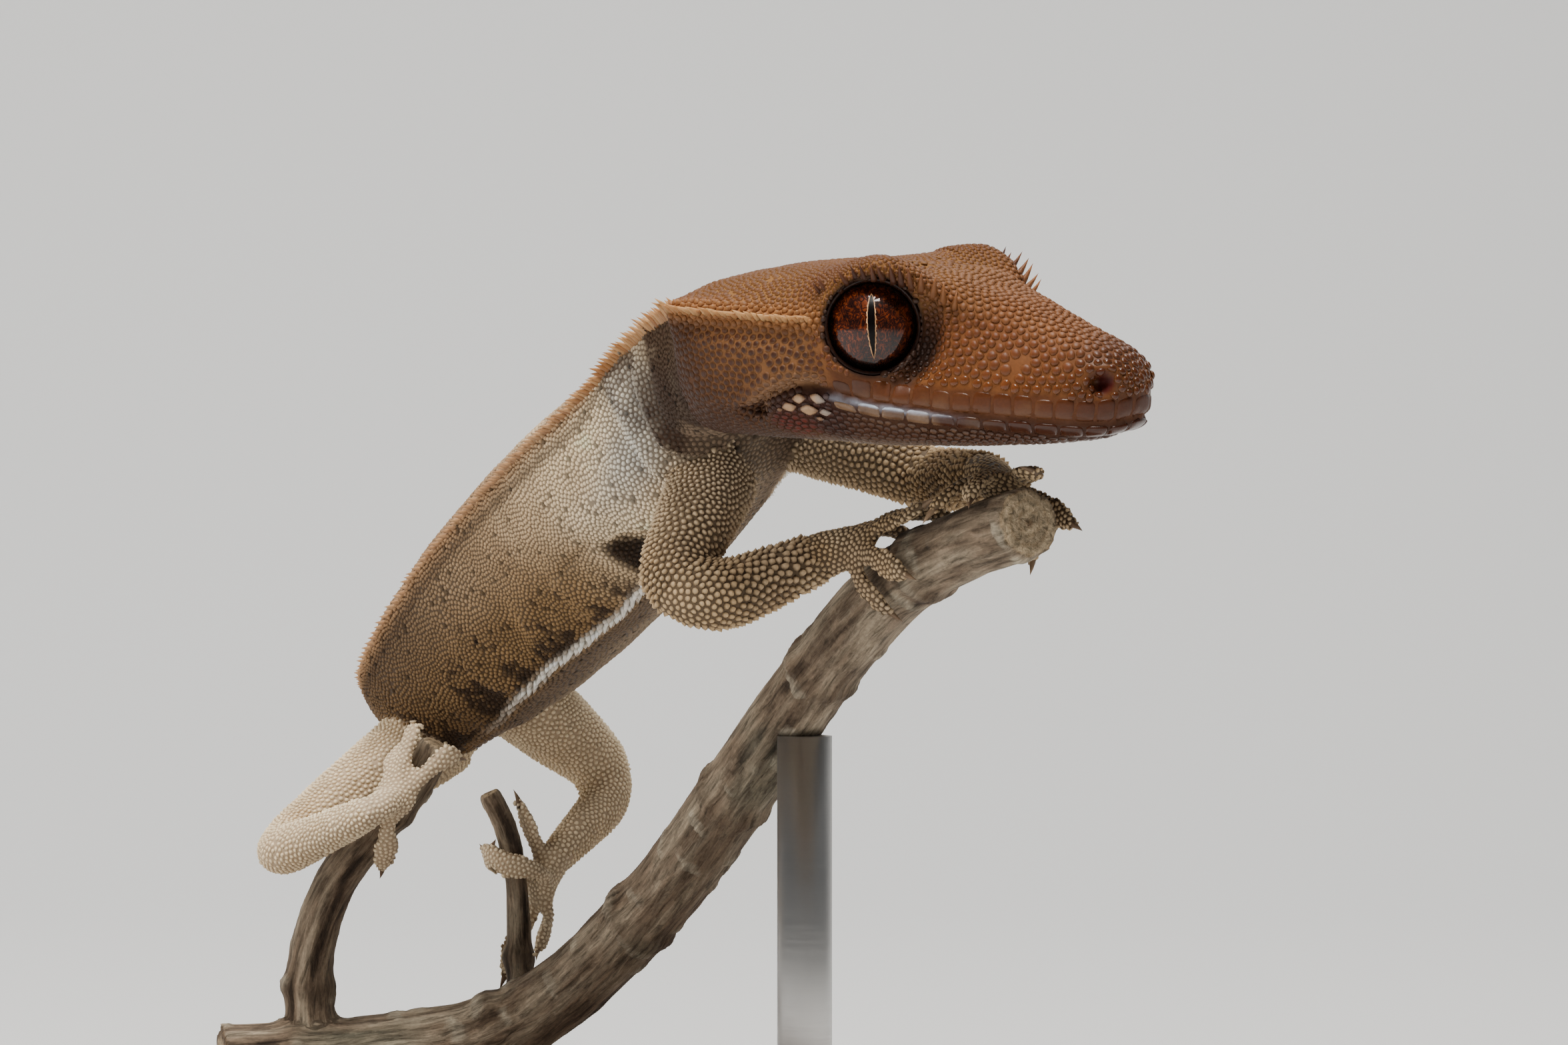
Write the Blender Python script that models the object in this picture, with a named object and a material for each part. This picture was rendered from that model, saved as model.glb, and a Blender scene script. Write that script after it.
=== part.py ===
"""Crested gecko, a still life-size model climbing on a cut branch, on a plain display stand.

Lengths below are in millimetres and become metres where a mesh is made. The gecko is laid out
around a working point between its head and shoulders, and everything is then moved so that the
origin is the centre of the stand's underside.
"""
import math
import random

import bmesh
import bpy
import numpy as np
from mathutils import Matrix, Vector

MM = 0.001
GAP = 0.3

# Stand
BASE_CENTRE = Vector((-9.0, 42.0, 0.0))
BASE_RADIUS = 47.0
BASE_THICK = 8.0
BASE_TOP_Z = -53.0
ROD_RADIUS = 2.0
ROD_SPOTS = ((-29.0, 56.5), (1.5, 31.0))

# Head, in its own directions: forward, up, and to the animal's right
HEAD_AT = Vector((-3.6, 14.8, 11.3))
HEAD_FORWARD = Vector((0.855, -0.508, -0.100)).normalized()
HEAD_UP = Vector((0.026, -0.150, 0.988))
HEAD_LENGTH = 31.5
MOUTH_CORNER = 10.6
EYE_RADIUS = 3.4
EYE_PLACE = (14.1, 5.35, 3.6)
GROOVE_PLACE = (15.5, 5.35, 2.9)
EYE_AXIS = (0.51, 0.85, 0.14)
LID_RADIUS = 0.45
NOSTRIL_PLACE = (29.9, 3.3, 1.0)
EAR_PLACE = (6.4, 8.0, -2.6)

# Crest
LASH_COUNT = 10
HEAD_SPINES = 11
NECK_SPINES = 7
CHEST_SPINES = 10
BELLY_SPINES = 10
HIP_SPINES = 7
SPINE_ROOT = 0.34

# Body centre line: place, forward direction and back direction
HEAD_UP -= HEAD_FORWARD * HEAD_UP.dot(HEAD_FORWARD)
HEAD_UP.normalize()
HEAD_RIGHT = HEAD_FORWARD.cross(HEAD_UP)
BODY_LINE = (
    (HEAD_AT, HEAD_FORWARD, HEAD_UP),
    (Vector((-4.6, 20.4, 10.9)), Vector((0.62, -0.78, 0.10)), Vector((-0.30, -0.06, 0.95))),
    (Vector((-5.9, 26.5, 8.6)), Vector((0.36, -0.86, 0.36)), Vector((-0.60, 0.08, 0.79))),
    (Vector((-9.4, 36.0, 5.2)), Vector((0.37, -0.84, 0.39)), Vector((-0.66, 0.10, 0.73))),
    (Vector((-13.8, 46.5, 1.2)), Vector((0.41, -0.80, 0.43)), Vector((-0.69, 0.126, 0.705))),
    (Vector((-20.0, 57.0, -5.0)), Vector((0.46, -0.75, 0.48)), Vector((-0.70, 0.12, 0.70))),
    (Vector((-26.2, 66.0, -11.8)), Vector((0.40, -0.82, 0.42)), Vector((-0.69, 0.10, 0.71))),
    (Vector((-28.8, 74.0, -15.0)), Vector((-0.08, -0.99, 0.03)), Vector((-0.60, 0.05, 0.80))),
)
# Half sections at those places: top, crest, flank, fold of the side, belly
BODY_SECTIONS = (
    (4.6, (6.2, 3.7), (6.3, 0.5), (5.6, -3.0), 5.0),
    (4.4, (5.7, 3.8), (6.3, 0.5), (5.8, -3.4), 5.3),
    (5.9, (7.5, 5.1), (8.4, 0.5), (7.5, -4.9), 6.8),
    (6.9, (8.9, 6.0), (9.9, 0.4), (8.7, -6.0), 7.4),
    (7.2, (9.2, 6.2), (10.6, 0.2), (9.3, -6.4), 7.7),
    (6.9, (8.8, 6.1), (10.0, 0.0), (8.5, -6.1), 7.3),
    (5.9, (7.2, 5.1), (7.6, 0.0), (6.2, -4.9), 5.9),
    (3.7, (3.6, 2.7), (4.2, 0.0), (3.4, -2.8), 3.8),
)
NECK_ENDS = (0.0, 1.75)
CHEST_ENDS = (1.75, 3.5)
BELLY_ENDS = (3.5, 5.1)
HIP_ENDS = (5.1, 7.0)

TAIL_LINE = (
    (-28.8, 74.0, -15.0), (-28.2, 81.0, -15.2), (-25.0, 88.5, -11.0), (-19.0, 93.0, -4.5),
    (-11.5, 93.5, 2.0), (-4.0, 90.5, 9.0), (4.5, 84.5, 15.0), (11.5, 76.5, 18.0),
    (16.5, 67.5, 17.0), (19.5, 58.5, 14.5), (20.0, 51.0, 12.5),
)
TAIL_ROOT, TAIL_END = 3.9, 0.95

# Branch and its two shoots: places and radii
BRANCH_LINE = ((-44.0, 53.0, -42.5), (-32.0, 56.5, -42.0), (-20.8, 58.5, -39.5), (-10.5, 51.0, -30.0),
               (-2.5, 38.0, -18.5), (3.5, 27.0, -9.5), (8.0, 18.0, -4.2), (12.4, 9.5, -1.4),
               (16.2, 2.5, 0.0))
BRANCH_RADII = (3.5, 3.4, 3.2, 3.1, 3.0, 2.9, 2.8, 2.7, 2.6)
SHOOT_A_LINE = ((-37.0, 55.5, -42.0), (-37.4, 56.0, -35.0), (-35.4, 54.6, -28.6), (-31.6, 52.6, -23.6),
                (-28.4, 51.4, -20.0), (-26.8, 50.8, -17.0))
SHOOT_A_RADII = (2.4, 2.1, 1.9, 1.75, 1.6, 1.5)
SHOOT_B_LINE = ((-20.8, 59.0, -40.0), (-21.2, 61.0, -34.5), (-21.3, 61.0, -29.5), (-22.0, 60.6, -25.0),
                (-23.6, 60.0, -21.4))
SHOOT_B_RADII = (1.5, 1.25, 1.15, 1.1, 1.05)

# Limbs: shoulder or hip, elbow or knee, wrist or ankle
RIGHT_ARM = (Vector((-4.8, 21.8, 3.4)), Vector((-9.2, 10.6, -7.2)), Vector((2.4, 17.2, -2.4)))
LEFT_ARM = (Vector((-0.8, 30.2, 7.4)), Vector((10.6, 25.4, 3.0)), Vector((14.0, 14.4, 3.2)))
RIGHT_LEG = (Vector((-27.6, 64.8, -16.8)), Vector((-41.0, 53.8, -26.6)), Vector((-31.5, 46.2, -22.1)))
LEFT_LEG = (Vector((-22.2, 67.4, -13.6)), Vector((-13.2, 71.6, -21.6)), Vector((-18.4, 63.4, -27.0)))
ARM_RADII = (3.2, 2.9, 2.6, 2.5, 2.3, 2.0, 1.5)
LEG_RADII = (3.7, 3.5, 3.1, 2.5, 2.2, 1.9, 1.4)
HAND_TOES = (5.6, 7.0, 7.6, 7.2, 5.8)
FOOT_TOES = (5.6, 7.4, 8.4, 8.4, 6.6)
TOE_THICK = 0.95


def clean_scene():
    for obj in list(bpy.data.objects):
        bpy.data.objects.remove(obj, do_unlink=True)


clean_scene()
random.seed(11)
SHIFT = Vector((-BASE_CENTRE.x, -BASE_CENTRE.y, BASE_THICK - BASE_TOP_Z))
PARTS = bpy.data.collections.new("crested_gecko")
WORK = bpy.data.collections.new("cutters")
bpy.context.scene.collection.children.link(PARTS)
bpy.context.scene.collection.children.link(WORK)


def material(name, colour, roughness, metallic=0.0):
    made = bpy.data.materials.new(name)
    made.use_nodes = True
    shader = made.node_tree.nodes["Principled BSDF"]
    shader.inputs["Base Color"].default_value = (*colour, 1.0)
    shader.inputs["Roughness"].default_value = roughness
    shader.inputs["Metallic"].default_value = metallic
    return made


HEAD_SKIN = material("head_skin", (0.30, 0.13, 0.06), 0.5)
BODY_SKIN = material("body_skin", (0.36, 0.30, 0.23), 0.7)
LIMB_SKIN = material("limb_skin", (0.45, 0.38, 0.28), 0.7)
EYE_GLOSS = material("eye_gloss", (0.25, 0.07, 0.03), 0.08)
BARK = material("bark", (0.27, 0.20, 0.13), 0.85)
BASE_WOOD = material("base_wood", (0.10, 0.05, 0.03), 0.4)
ROD_STEEL = material("rod_steel", (0.55, 0.55, 0.57), 0.3, 1.0)


def place(mesh, name, finish, collection=PARTS):
    obj = bpy.data.objects.new(name, mesh)
    collection.objects.link(obj)
    if finish:
        mesh.materials.clear()
        mesh.materials.append(finish)
    if collection is WORK:
        obj.hide_render = True
        obj.display_type = "WIRE"
    return obj


def to_mesh(bm, name):
    """Writes a bmesh in millimetres as a mesh in metres, in the model's own frame."""
    bmesh.ops.recalc_face_normals(bm, faces=bm.faces)
    bmesh.ops.transform(bm, matrix=Matrix.Scale(MM, 4) @ Matrix.Translation(SHIFT), verts=bm.verts)
    mesh = bpy.data.meshes.new(name)
    bm.to_mesh(mesh)
    bm.free()
    return mesh


def spline(points, t):
    """A point on the smooth curve through the points; t counts them."""
    last = len(points) - 1
    t = min(max(t, 0.0), last)
    i = min(int(t), last - 1)
    u = t - i
    a = points[i]
    b = points[i + 1]
    before = points[i - 1] if i > 0 else a * 2 - b
    after = points[i + 2] if i + 2 <= last else b * 2 - a
    slope_a = (b - before) * 0.5
    slope_b = (after - a) * 0.5
    return (a * (2 * u**3 - 3 * u**2 + 1) + slope_a * (u**3 - 2 * u**2 + u)
            + b * (-2 * u**3 + 3 * u**2) + slope_b * (u**3 - u**2))


def slope(points, t):
    return (spline(points, t + 0.02) - spline(points, t - 0.02)).normalized()


def loft(rings):
    """Skins a list of closed rings and closes both ends."""
    bm = bmesh.new()
    made = [[bm.verts.new(point) for point in ring] for ring in rings]
    for low, high in zip(made, made[1:]):
        count = len(low)
        for i in range(count):
            bm.faces.new((low[i], low[(i + 1) % count], high[(i + 1) % count], high[i]))
    bm.faces.new(made[0][::-1])
    bm.faces.new(made[-1])
    bmesh.ops.remove_doubles(bm, verts=bm.verts, dist=0.01)
    bmesh.ops.triangulate(bm, faces=bm.faces)
    return bm


def smooth_run(keys, steps):
    """Points of the smooth curve through the keys, without the last one."""
    points = [Vector(key) for key in keys]
    return [spline(points, i / steps) for i in range((len(points) - 1) * steps)]


def mirrored_ring(right, frame):
    """Turns the right half of a section, from back to belly, into a closed ring in space."""
    at, side, up = frame
    left = [Vector((-p.x, p.y)) for p in right[1:-1]][::-1]
    return [at + side * p.x + up * p.y for p in right + left]


# Head
def head_point(s, r, u):
    return HEAD_AT + HEAD_FORWARD * s + HEAD_RIGHT * r + HEAD_UP * u


# Each row: length from the back; top of the midline; then pairs (side, up) for the roof, the brow,
# the crest or canthus, the cheek and the lip; then the throat's side and its lowest point
HEAD_ROWS = (
    (0.0, 5.3, (3.6, 5.2), (6.6, 4.7), (9.0, 4.1), (7.8, 1.0), (6.8, -2.0), (4.2, -4.3), -5.0),
    (1.2, 5.9, (3.8, 5.7), (6.9, 5.0), (9.5, 4.1), (8.8, 1.2), (7.7, -2.0), (4.6, -4.3), -5.0),
    (3.8, 6.6, (3.9, 6.3), (7.0, 5.4), (9.75, 4.0), (9.5, 1.3), (8.5, -2.0), (5.0, -4.2), -4.9),
    (7.0, 7.2, (3.9, 6.9), (7.0, 5.9), (9.75, 4.0), (9.8, 1.4), (8.8, -1.8), (5.2, -4.1), -4.8),
    (9.8, 7.5, (3.9, 7.3), (6.8, 6.5), (9.35, 4.0), (9.7, 1.4), (8.8, -1.0), (5.3, -4.0), -4.7),
    (12.2, 7.6, (3.9, 7.7), (6.6, 7.5), (8.4, 5.4), (8.9, 2.2), (8.5, -0.5), (5.4, -3.9), -4.6),
    (14.2, 7.6, (4.0, 8.0), (6.5, 8.2), (8.0, 7.0), (8.1, 3.0), (8.2, -0.8), (5.4, -3.9), -4.5),
    (16.2, 7.5, (4.0, 8.0), (6.3, 8.3), (7.6, 7.0), (7.2, 3.0), (7.9, -1.05), (5.3, -3.8), -4.4),
    (18.4, 7.1, (3.7, 7.3), (5.6, 7.4), (6.6, 6.5), (6.4, 2.7), (7.4, -1.2), (5.0, -3.6), -4.2),
    (20.4, 6.4, (2.9, 6.4), (4.3, 6.0), (5.1, 5.1), (6.0, 2.2), (6.9, -1.35), (4.6, -3.5), -4.0),
    (23.0, 5.7, (2.2, 5.6), (3.3, 5.1), (4.1, 4.3), (5.5, 1.8), (6.1, -1.45), (4.0, -3.3), -3.7),
    (26.0, 4.5, (1.7, 4.4), (2.7, 4.0), (3.5, 3.4), (4.6, 1.4), (5.1, -1.55), (3.4, -3.0), -3.3),
    (28.4, 3.6, (1.5, 3.5), (2.5, 3.2), (3.2, 2.6), (3.9, 1.0), (4.1, -1.6), (2.9, -2.7), -2.9),
    (30.0, 3.0, (1.2, 2.9), (2.0, 2.6), (2.6, 2.1), (3.1, 0.8), (3.2, -1.6), (2.3, -2.4), -2.5),
    (31.0, 2.1, (0.9, 2.0), (1.4, 1.8), (1.8, 1.4), (2.1, 0.5), (2.1, -1.5), (1.5, -2.0), -2.1),
    (31.5, 1.0, (0.5, 0.9), (0.8, 0.8), (0.9, 0.6), (1.0, 0.2), (0.9, -1.2), (0.7, -1.5), -1.55),
)


def head_row(s):
    rows = np.array([[row[0], row[1], *row[2], *row[3], *row[4], *row[5], *row[6], *row[7], row[8]]
                     for row in HEAD_ROWS])
    spots = rows[:, 0]
    s = min(max(s, 0.0), HEAD_LENGTH)
    i = min(int(np.searchsorted(spots, s, side="right")) - 1, len(spots) - 2)
    t = i + (s - spots[i]) / (spots[i + 1] - spots[i])
    values = []
    for column in range(1, rows.shape[1]):
        flat = [Vector((value, 0.0)) for value in rows[:, column]]
        values.append(spline(flat, t).x)
    return values


def upper_half(values):
    keys = ((0, values[0]), values[1:3], values[3:5], values[5:7], values[7:9], values[9:11])
    return smooth_run(keys, 3)


def head_ring(s, whole):
    values = head_row(s)
    right = upper_half(values)
    lip = Vector(values[9:11])
    if whole:
        right += smooth_run((lip, values[11:13], (0, values[13])), 2)
        right.append(Vector((0, values[13])))
    else:
        right += [lip * 1.0, Vector((lip.x * 0.75, lip.y)), Vector((lip.x * 0.5, lip.y)),
                  Vector((lip.x * 0.25, lip.y)), Vector((0, lip.y))]
    return mirrored_ring(right, (head_point(s, 0, 0), HEAD_RIGHT, HEAD_UP))


def jaw_ring(s):
    values = head_row(s)
    lip = Vector((values[9] * 0.985, values[10] - GAP))
    right = [Vector((0, lip.y)), Vector((lip.x * 0.5, lip.y))]
    low = (lip, (values[11] * 1.0, values[12]), (0, values[13]))
    right += smooth_run(low, 3)
    right.append(Vector((0, values[13])))
    return mirrored_ring(right, (head_point(s, 0, 0), HEAD_RIGHT, HEAD_UP))


def spread(start, end, count):
    return [start + (end - start) * i / (count - 1) for i in range(count)]


def spine(root, way, length, radius):
    """A pointed spine whose foot is sunk into the skin below its root."""
    bm = bmesh.new()
    way = way.normalized()
    bmesh.ops.create_cone(bm, cap_ends=True, segments=4, radius1=radius, radius2=0.06,
                          depth=length + 0.7)
    turn = way.to_track_quat("Z", "Y").to_matrix().to_4x4()
    middle = root + way * ((length + 0.7) / 2 - 0.7)
    bmesh.ops.transform(bm, matrix=Matrix.Translation(middle) @ turn, verts=bm.verts)
    return bm


def evaluated(obj):
    depsgraph = bpy.context.evaluated_depsgraph_get()
    return bpy.data.meshes.new_from_object(obj.evaluated_get(depsgraph))


def largest_surface(mesh):
    bm = bmesh.new()
    bm.from_mesh(mesh)
    bmesh.ops.remove_doubles(bm, verts=bm.verts, dist=1e-6)
    bm.verts.ensure_lookup_table()
    seen = set()
    pieces = []
    for vert in bm.verts:
        if vert in seen:
            continue
        piece = []
        queue = [vert]
        seen.add(vert)
        while queue:
            one = queue.pop()
            piece.append(one)
            for edge in one.link_edges:
                other = edge.other_vert(one)
                if other not in seen:
                    seen.add(other)
                    queue.append(other)
        pieces.append(piece)
    pieces.sort(key=len)
    drop = [vert for piece in pieces[:-1] for vert in piece]
    bmesh.ops.delete(bm, geom=drop, context="VERTS")
    bmesh.ops.triangulate(bm, faces=bm.faces)
    bm.to_mesh(mesh)
    bm.free()
    return mesh


def boolean(obj, meshes, operation, solver="EXACT"):
    """Joins to an object, or cuts from it, a list of closed meshes, and keeps the result."""
    group = bpy.data.collections.new("tools")
    bpy.context.scene.collection.children.link(group)
    made = []
    for mesh in meshes:
        tool = bpy.data.objects.new("tool", mesh)
        group.objects.link(tool)
        made.append(tool)
    step = obj.modifiers.new("join", "BOOLEAN")
    step.operand_type = "COLLECTION"
    step.collection = group
    step.operation = operation
    step.solver = solver
    mesh = evaluated(obj)
    obj.modifiers.remove(step)
    for tool in made:
        bpy.data.objects.remove(tool, do_unlink=True)
    bpy.data.collections.remove(group)
    obj.data = largest_surface(mesh)
    return obj


def ball(centre, radius, scale=(1, 1, 1), axes=None, segments=20, rings=12):
    bm = bmesh.new()
    bmesh.ops.create_uvsphere(bm, u_segments=segments, v_segments=rings, radius=radius)
    bmesh.ops.scale(bm, vec=scale, verts=bm.verts)
    turn = axes if axes else Matrix.Identity(4)
    bmesh.ops.transform(bm, matrix=Matrix.Translation(centre) @ turn, verts=bm.verts)
    return to_mesh(bm, "ball")


def cone_cut(centre, axis, near, far, depth):
    """A flaring cutter that opens the skin in front of the eye."""
    bm = bmesh.new()
    turn = axis.to_track_quat("Z", "Y").to_matrix().to_4x4()
    bmesh.ops.create_cone(bm, cap_ends=True, segments=18, radius1=near, radius2=far, depth=depth)
    middle = Matrix.Translation(centre + axis * depth / 2)
    bmesh.ops.transform(bm, matrix=middle @ turn, verts=bm.verts)
    return to_mesh(bm, "cone")


def ring_tube(centre, axis, radius, tube):
    """A ring round an axis, such as the rim of the lids."""
    bm = bmesh.new()
    turn = axis.to_track_quat("Z", "Y").to_matrix().to_4x4()
    circle = bmesh.ops.create_circle(bm, segments=6, radius=tube, cap_ends=False)["verts"]
    bmesh.ops.rotate(bm, verts=circle, cent=(0, 0, 0), matrix=Matrix.Rotation(math.pi / 2, 3, "X"))
    bmesh.ops.translate(bm, verts=circle, vec=(radius, 0, 0))
    bmesh.ops.spin(bm, geom=list(bm.edges), cent=(0, 0, 0), axis=(0, 0, 1), angle=2 * math.pi,
                   steps=16, use_merge=True)
    bmesh.ops.remove_doubles(bm, verts=bm.verts, dist=0.001)
    bmesh.ops.transform(bm, matrix=Matrix.Translation(centre) @ turn, verts=bm.verts)
    return to_mesh(bm, "ring")


def head_axes(way):
    forward, right, up = way
    return (HEAD_FORWARD * forward + HEAD_RIGHT * right + HEAD_UP * up).normalized()


def make_head():
    stations = [0.0, 0.6, 1.4, 2.8, 4.7, 6.7, 8.7, MOUTH_CORNER]
    rings = [head_ring(s, True) for s in stations]
    front = spread(MOUTH_CORNER + 0.05, 30.0, 15) + [30.6, 31.05, 31.35, HEAD_LENGTH]
    rings += [head_ring(s, False) for s in front]
    head = place(to_mesh(loft(rings), "head"), "head", HEAD_SKIN)
    before = []
    joined = []
    cut = []
    for side in (1, -1):
        centre = head_point(EYE_PLACE[0], EYE_PLACE[1] * side, EYE_PLACE[2])
        axis = head_axes((EYE_AXIS[0], EYE_AXIS[1] * side, EYE_AXIS[2]))
        rim_reach = EYE_RADIUS + GAP + LID_RADIUS
        rim_height = 2.15
        rim = math.sqrt(rim_reach**2 - rim_height**2)
        joined.append(ring_tube(centre + axis * rim_height, axis, rim, LID_RADIUS))
        groove = head_point(GROOVE_PLACE[0], GROOVE_PLACE[1] * side, GROOVE_PLACE[2])
        before.append(cone_cut(groove + axis * 2.1, axis, 3.3, 5.6, 4.0))
        cut.append(ball(centre, EYE_RADIUS + GAP, segments=18, rings=11))
        s, r, u = NOSTRIL_PLACE
        cut.append(ball(head_point(s, r * side, u), 0.62, (1, 1, 1), segments=8, rings=6))
        s, r, u = EAR_PLACE
        cut.append(ball(head_point(s, r * side, u), 1.0, (1, 1, 0.7), segments=8, rings=6))
        for i, s in enumerate(spread(12.0, 18.8, LASH_COUNT)):
            values = head_row(s)
            edge = upper_half(values)[8]
            root = head_point(s, (edge.x - 0.10) * side, edge.y - 0.10)
            way = HEAD_UP * 0.75 + HEAD_RIGHT * side * 0.62 + HEAD_FORWARD * (s - 15.4) * 0.06
            length = 0.85 + 0.35 * math.sin(math.pi * (i + 0.5) / LASH_COUNT) + random.uniform(-.08, .08)
            joined.append(to_mesh(spine(root, way, length, SPINE_ROOT * 0.9), "lash"))
        for i, s in enumerate(spread(11.0, 0.4, HEAD_SPINES)):
            values = head_row(s)
            root = head_point(s, (values[5] - 0.15) * side, values[6])
            way = HEAD_RIGHT * side * 0.85 + HEAD_UP * 0.35 - HEAD_FORWARD * 0.25
            length = 0.45 + 0.07 * i + random.uniform(-0.05, 0.05)
            joined.append(to_mesh(spine(root, way, length, SPINE_ROOT), "crest"))
    boolean(head, before, "DIFFERENCE")
    boolean(head, joined, "UNION")
    boolean(head, cut, "DIFFERENCE")
    jaw_spots = spread(MOUTH_CORNER + GAP + 0.05, 30.0, 12) + [30.6, 31.0, 31.35]
    place(to_mesh(loft([jaw_ring(s) for s in jaw_spots]), "jaw"), "jaw", HEAD_SKIN)
    for side, name in ((1, "eye_right"), (-1, "eye_left")):
        centre = head_point(EYE_PLACE[0], EYE_PLACE[1] * side, EYE_PLACE[2])
        place(ball(centre, EYE_RADIUS, segments=18, rings=11), name, EYE_GLOSS)


# Body
LINE_POINTS = [row[0] for row in BODY_LINE]
LINE_BACKS = [row[2] for row in BODY_LINE]
LINE_WAYS = [row[1] for row in BODY_LINE]


def body_frame(t):
    at = spline(LINE_POINTS, t)
    way = spline(LINE_WAYS, t).normalized()
    up = spline(LINE_BACKS, t)
    up = (up - way * up.dot(way)).normalized()
    return at, way.cross(up), up


def body_keys(t, grow=0.0):
    rows = [Vector((top, 0)) for top, *rest in BODY_SECTIONS]
    top = spline(rows, t).x + grow
    crest = spline([Vector(row[1]) for row in BODY_SECTIONS], t)
    flank = spline([Vector(row[2]) for row in BODY_SECTIONS], t)
    fold = spline([Vector(row[3]) for row in BODY_SECTIONS], t)
    belly = spline([Vector((row[4], 0)) for row in BODY_SECTIONS], t).x + grow
    crest = crest + crest.normalized() * grow
    flank = flank + Vector((grow, 0))
    fold = fold + fold.normalized() * grow * 1.1
    return top, crest, flank, fold, belly


def body_ring(t, grow=0.0, push=0.0):
    top, crest, flank, fold, belly = body_keys(t, grow)
    keys = ((0, top), (crest.x * 0.6, top * 0.985), crest, flank, fold,
            (fold.x * 0.55, -belly * 0.97), (0, -belly))
    right = smooth_run(keys, 3)
    right.append(Vector((0, -belly)))
    at, side, up = body_frame(t)
    way = up.cross(side)
    return mirrored_ring(right, (at + way * push, side, up))


def body_length(name, ends, finish, count, spines):
    start, end = ends
    spots = spread(start, end, count)
    rings = [body_ring(t) for t in spots]
    rings[0] = body_ring(start, push=-GAP if start == 0.0 else -GAP / 2)
    rings[-1] = body_ring(end, push=GAP / 2)
    obj = place(to_mesh(loft(rings), name), name, finish)
    joined = []
    for side in (1, -1):
        for t in spread(start + 0.18, end - 0.12, spines):
            top, crest, flank, fold, belly = body_keys(t)
            at, right, up = body_frame(t)
            way = right * side * 0.72 + up * 0.62 + right.cross(up) * -0.32
            root = at + right * side * (crest.x - 0.12) + up * (crest.y - 0.10)
            length = max(0.95, 1.5 - 0.16 * t) + random.uniform(-0.12, 0.12)
            joined.append(to_mesh(spine(root, way, length, SPINE_ROOT), "crest"))
    if joined:
        boolean(obj, joined, "UNION")
    return obj


def body_core(grow):
    """The whole body a little fatter, to cut a limb's root to the skin."""
    rings = [body_ring(t, grow) for t in spread(0.0, 7.0, 40)]
    return to_mesh(loft(rings), "core")


def make_tail():
    points = [Vector(p) for p in TAIL_LINE]
    up = Vector((-0.60, 0.05, 0.80))
    rings = []
    total = len(points) - 1
    spots = spread(0.0, total, 36)
    for t in spots:
        way = slope(points, t)
        up = (up - way * up.dot(way)).normalized()
        side = up.cross(way)
        share = t / total
        size = TAIL_ROOT + (TAIL_END - TAIL_ROOT) * share**0.8
        wide, thick = size, size * 0.95
        if share > 0.86:
            pad = math.sin(math.pi * min(1.0, (share - 0.86) / 0.14)) ** 0.5
            wide += 0.75 * pad
            thick -= 0.30 * pad
        if share > 0.985:
            wide, thick = wide * 0.55, thick * 0.6
        at = spline(points, t)
        rings.append([at + side * wide * math.cos(a) + up * thick * math.sin(a)
                      for a in (2 * math.pi * k / 12 for k in range(12))])
    cut = 17
    way = slope(points, 0.0)
    rings[0] = [p + way * GAP for p in rings[0]]
    place(to_mesh(loft(rings[:cut + 1]), "tail_root"), "tail_root", BODY_SKIN)
    way = slope(points, spots[cut])
    rings[cut] = [p + way * GAP for p in rings[cut]]
    place(to_mesh(loft(rings[cut:]), "tail_tip"), "tail_tip", BODY_SKIN)


# Branch and stand
def tube_mesh(points, radii, grow=0.0, step=0.4):
    """A branch of changing thickness, as a curve with a bevel, made a mesh."""
    data = bpy.data.curves.new("wood", "CURVE")
    data.dimensions = "3D"
    data.bevel_depth = 1.0
    data.bevel_resolution = 2
    data.use_fill_caps = True
    run = data.splines.new("POLY")
    count = int((len(points) - 1) / step) + 1
    spots = spread(0.0, len(points) - 1, count)
    vectors = [Vector(p) for p in points]
    sizes = [Vector((r, 0)) for r in radii]
    run.points.add(count - 1)
    for point, t in zip(run.points, spots):
        point.co = (*spline(vectors, t), 1.0)
        point.radius = spline(sizes, t).x + grow
    obj = bpy.data.objects.new("wood", data)
    WORK.objects.link(obj)
    mesh = evaluated(obj)
    bpy.data.objects.remove(obj, do_unlink=True)
    bm = bmesh.new()
    bm.from_mesh(mesh)
    bmesh.ops.remove_doubles(bm, verts=bm.verts, dist=0.01)
    bmesh.ops.triangulate(bm, faces=bm.faces)
    return to_mesh(bm, "wood")


def make_branch():
    branch = place(tube_mesh(BRANCH_LINE, BRANCH_RADII), "perch_branch", BARK)
    shoots = [tube_mesh(SHOOT_A_LINE, SHOOT_A_RADII), tube_mesh(SHOOT_B_LINE, SHOOT_B_RADII)]
    boolean(branch, shoots, "UNION")


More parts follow.
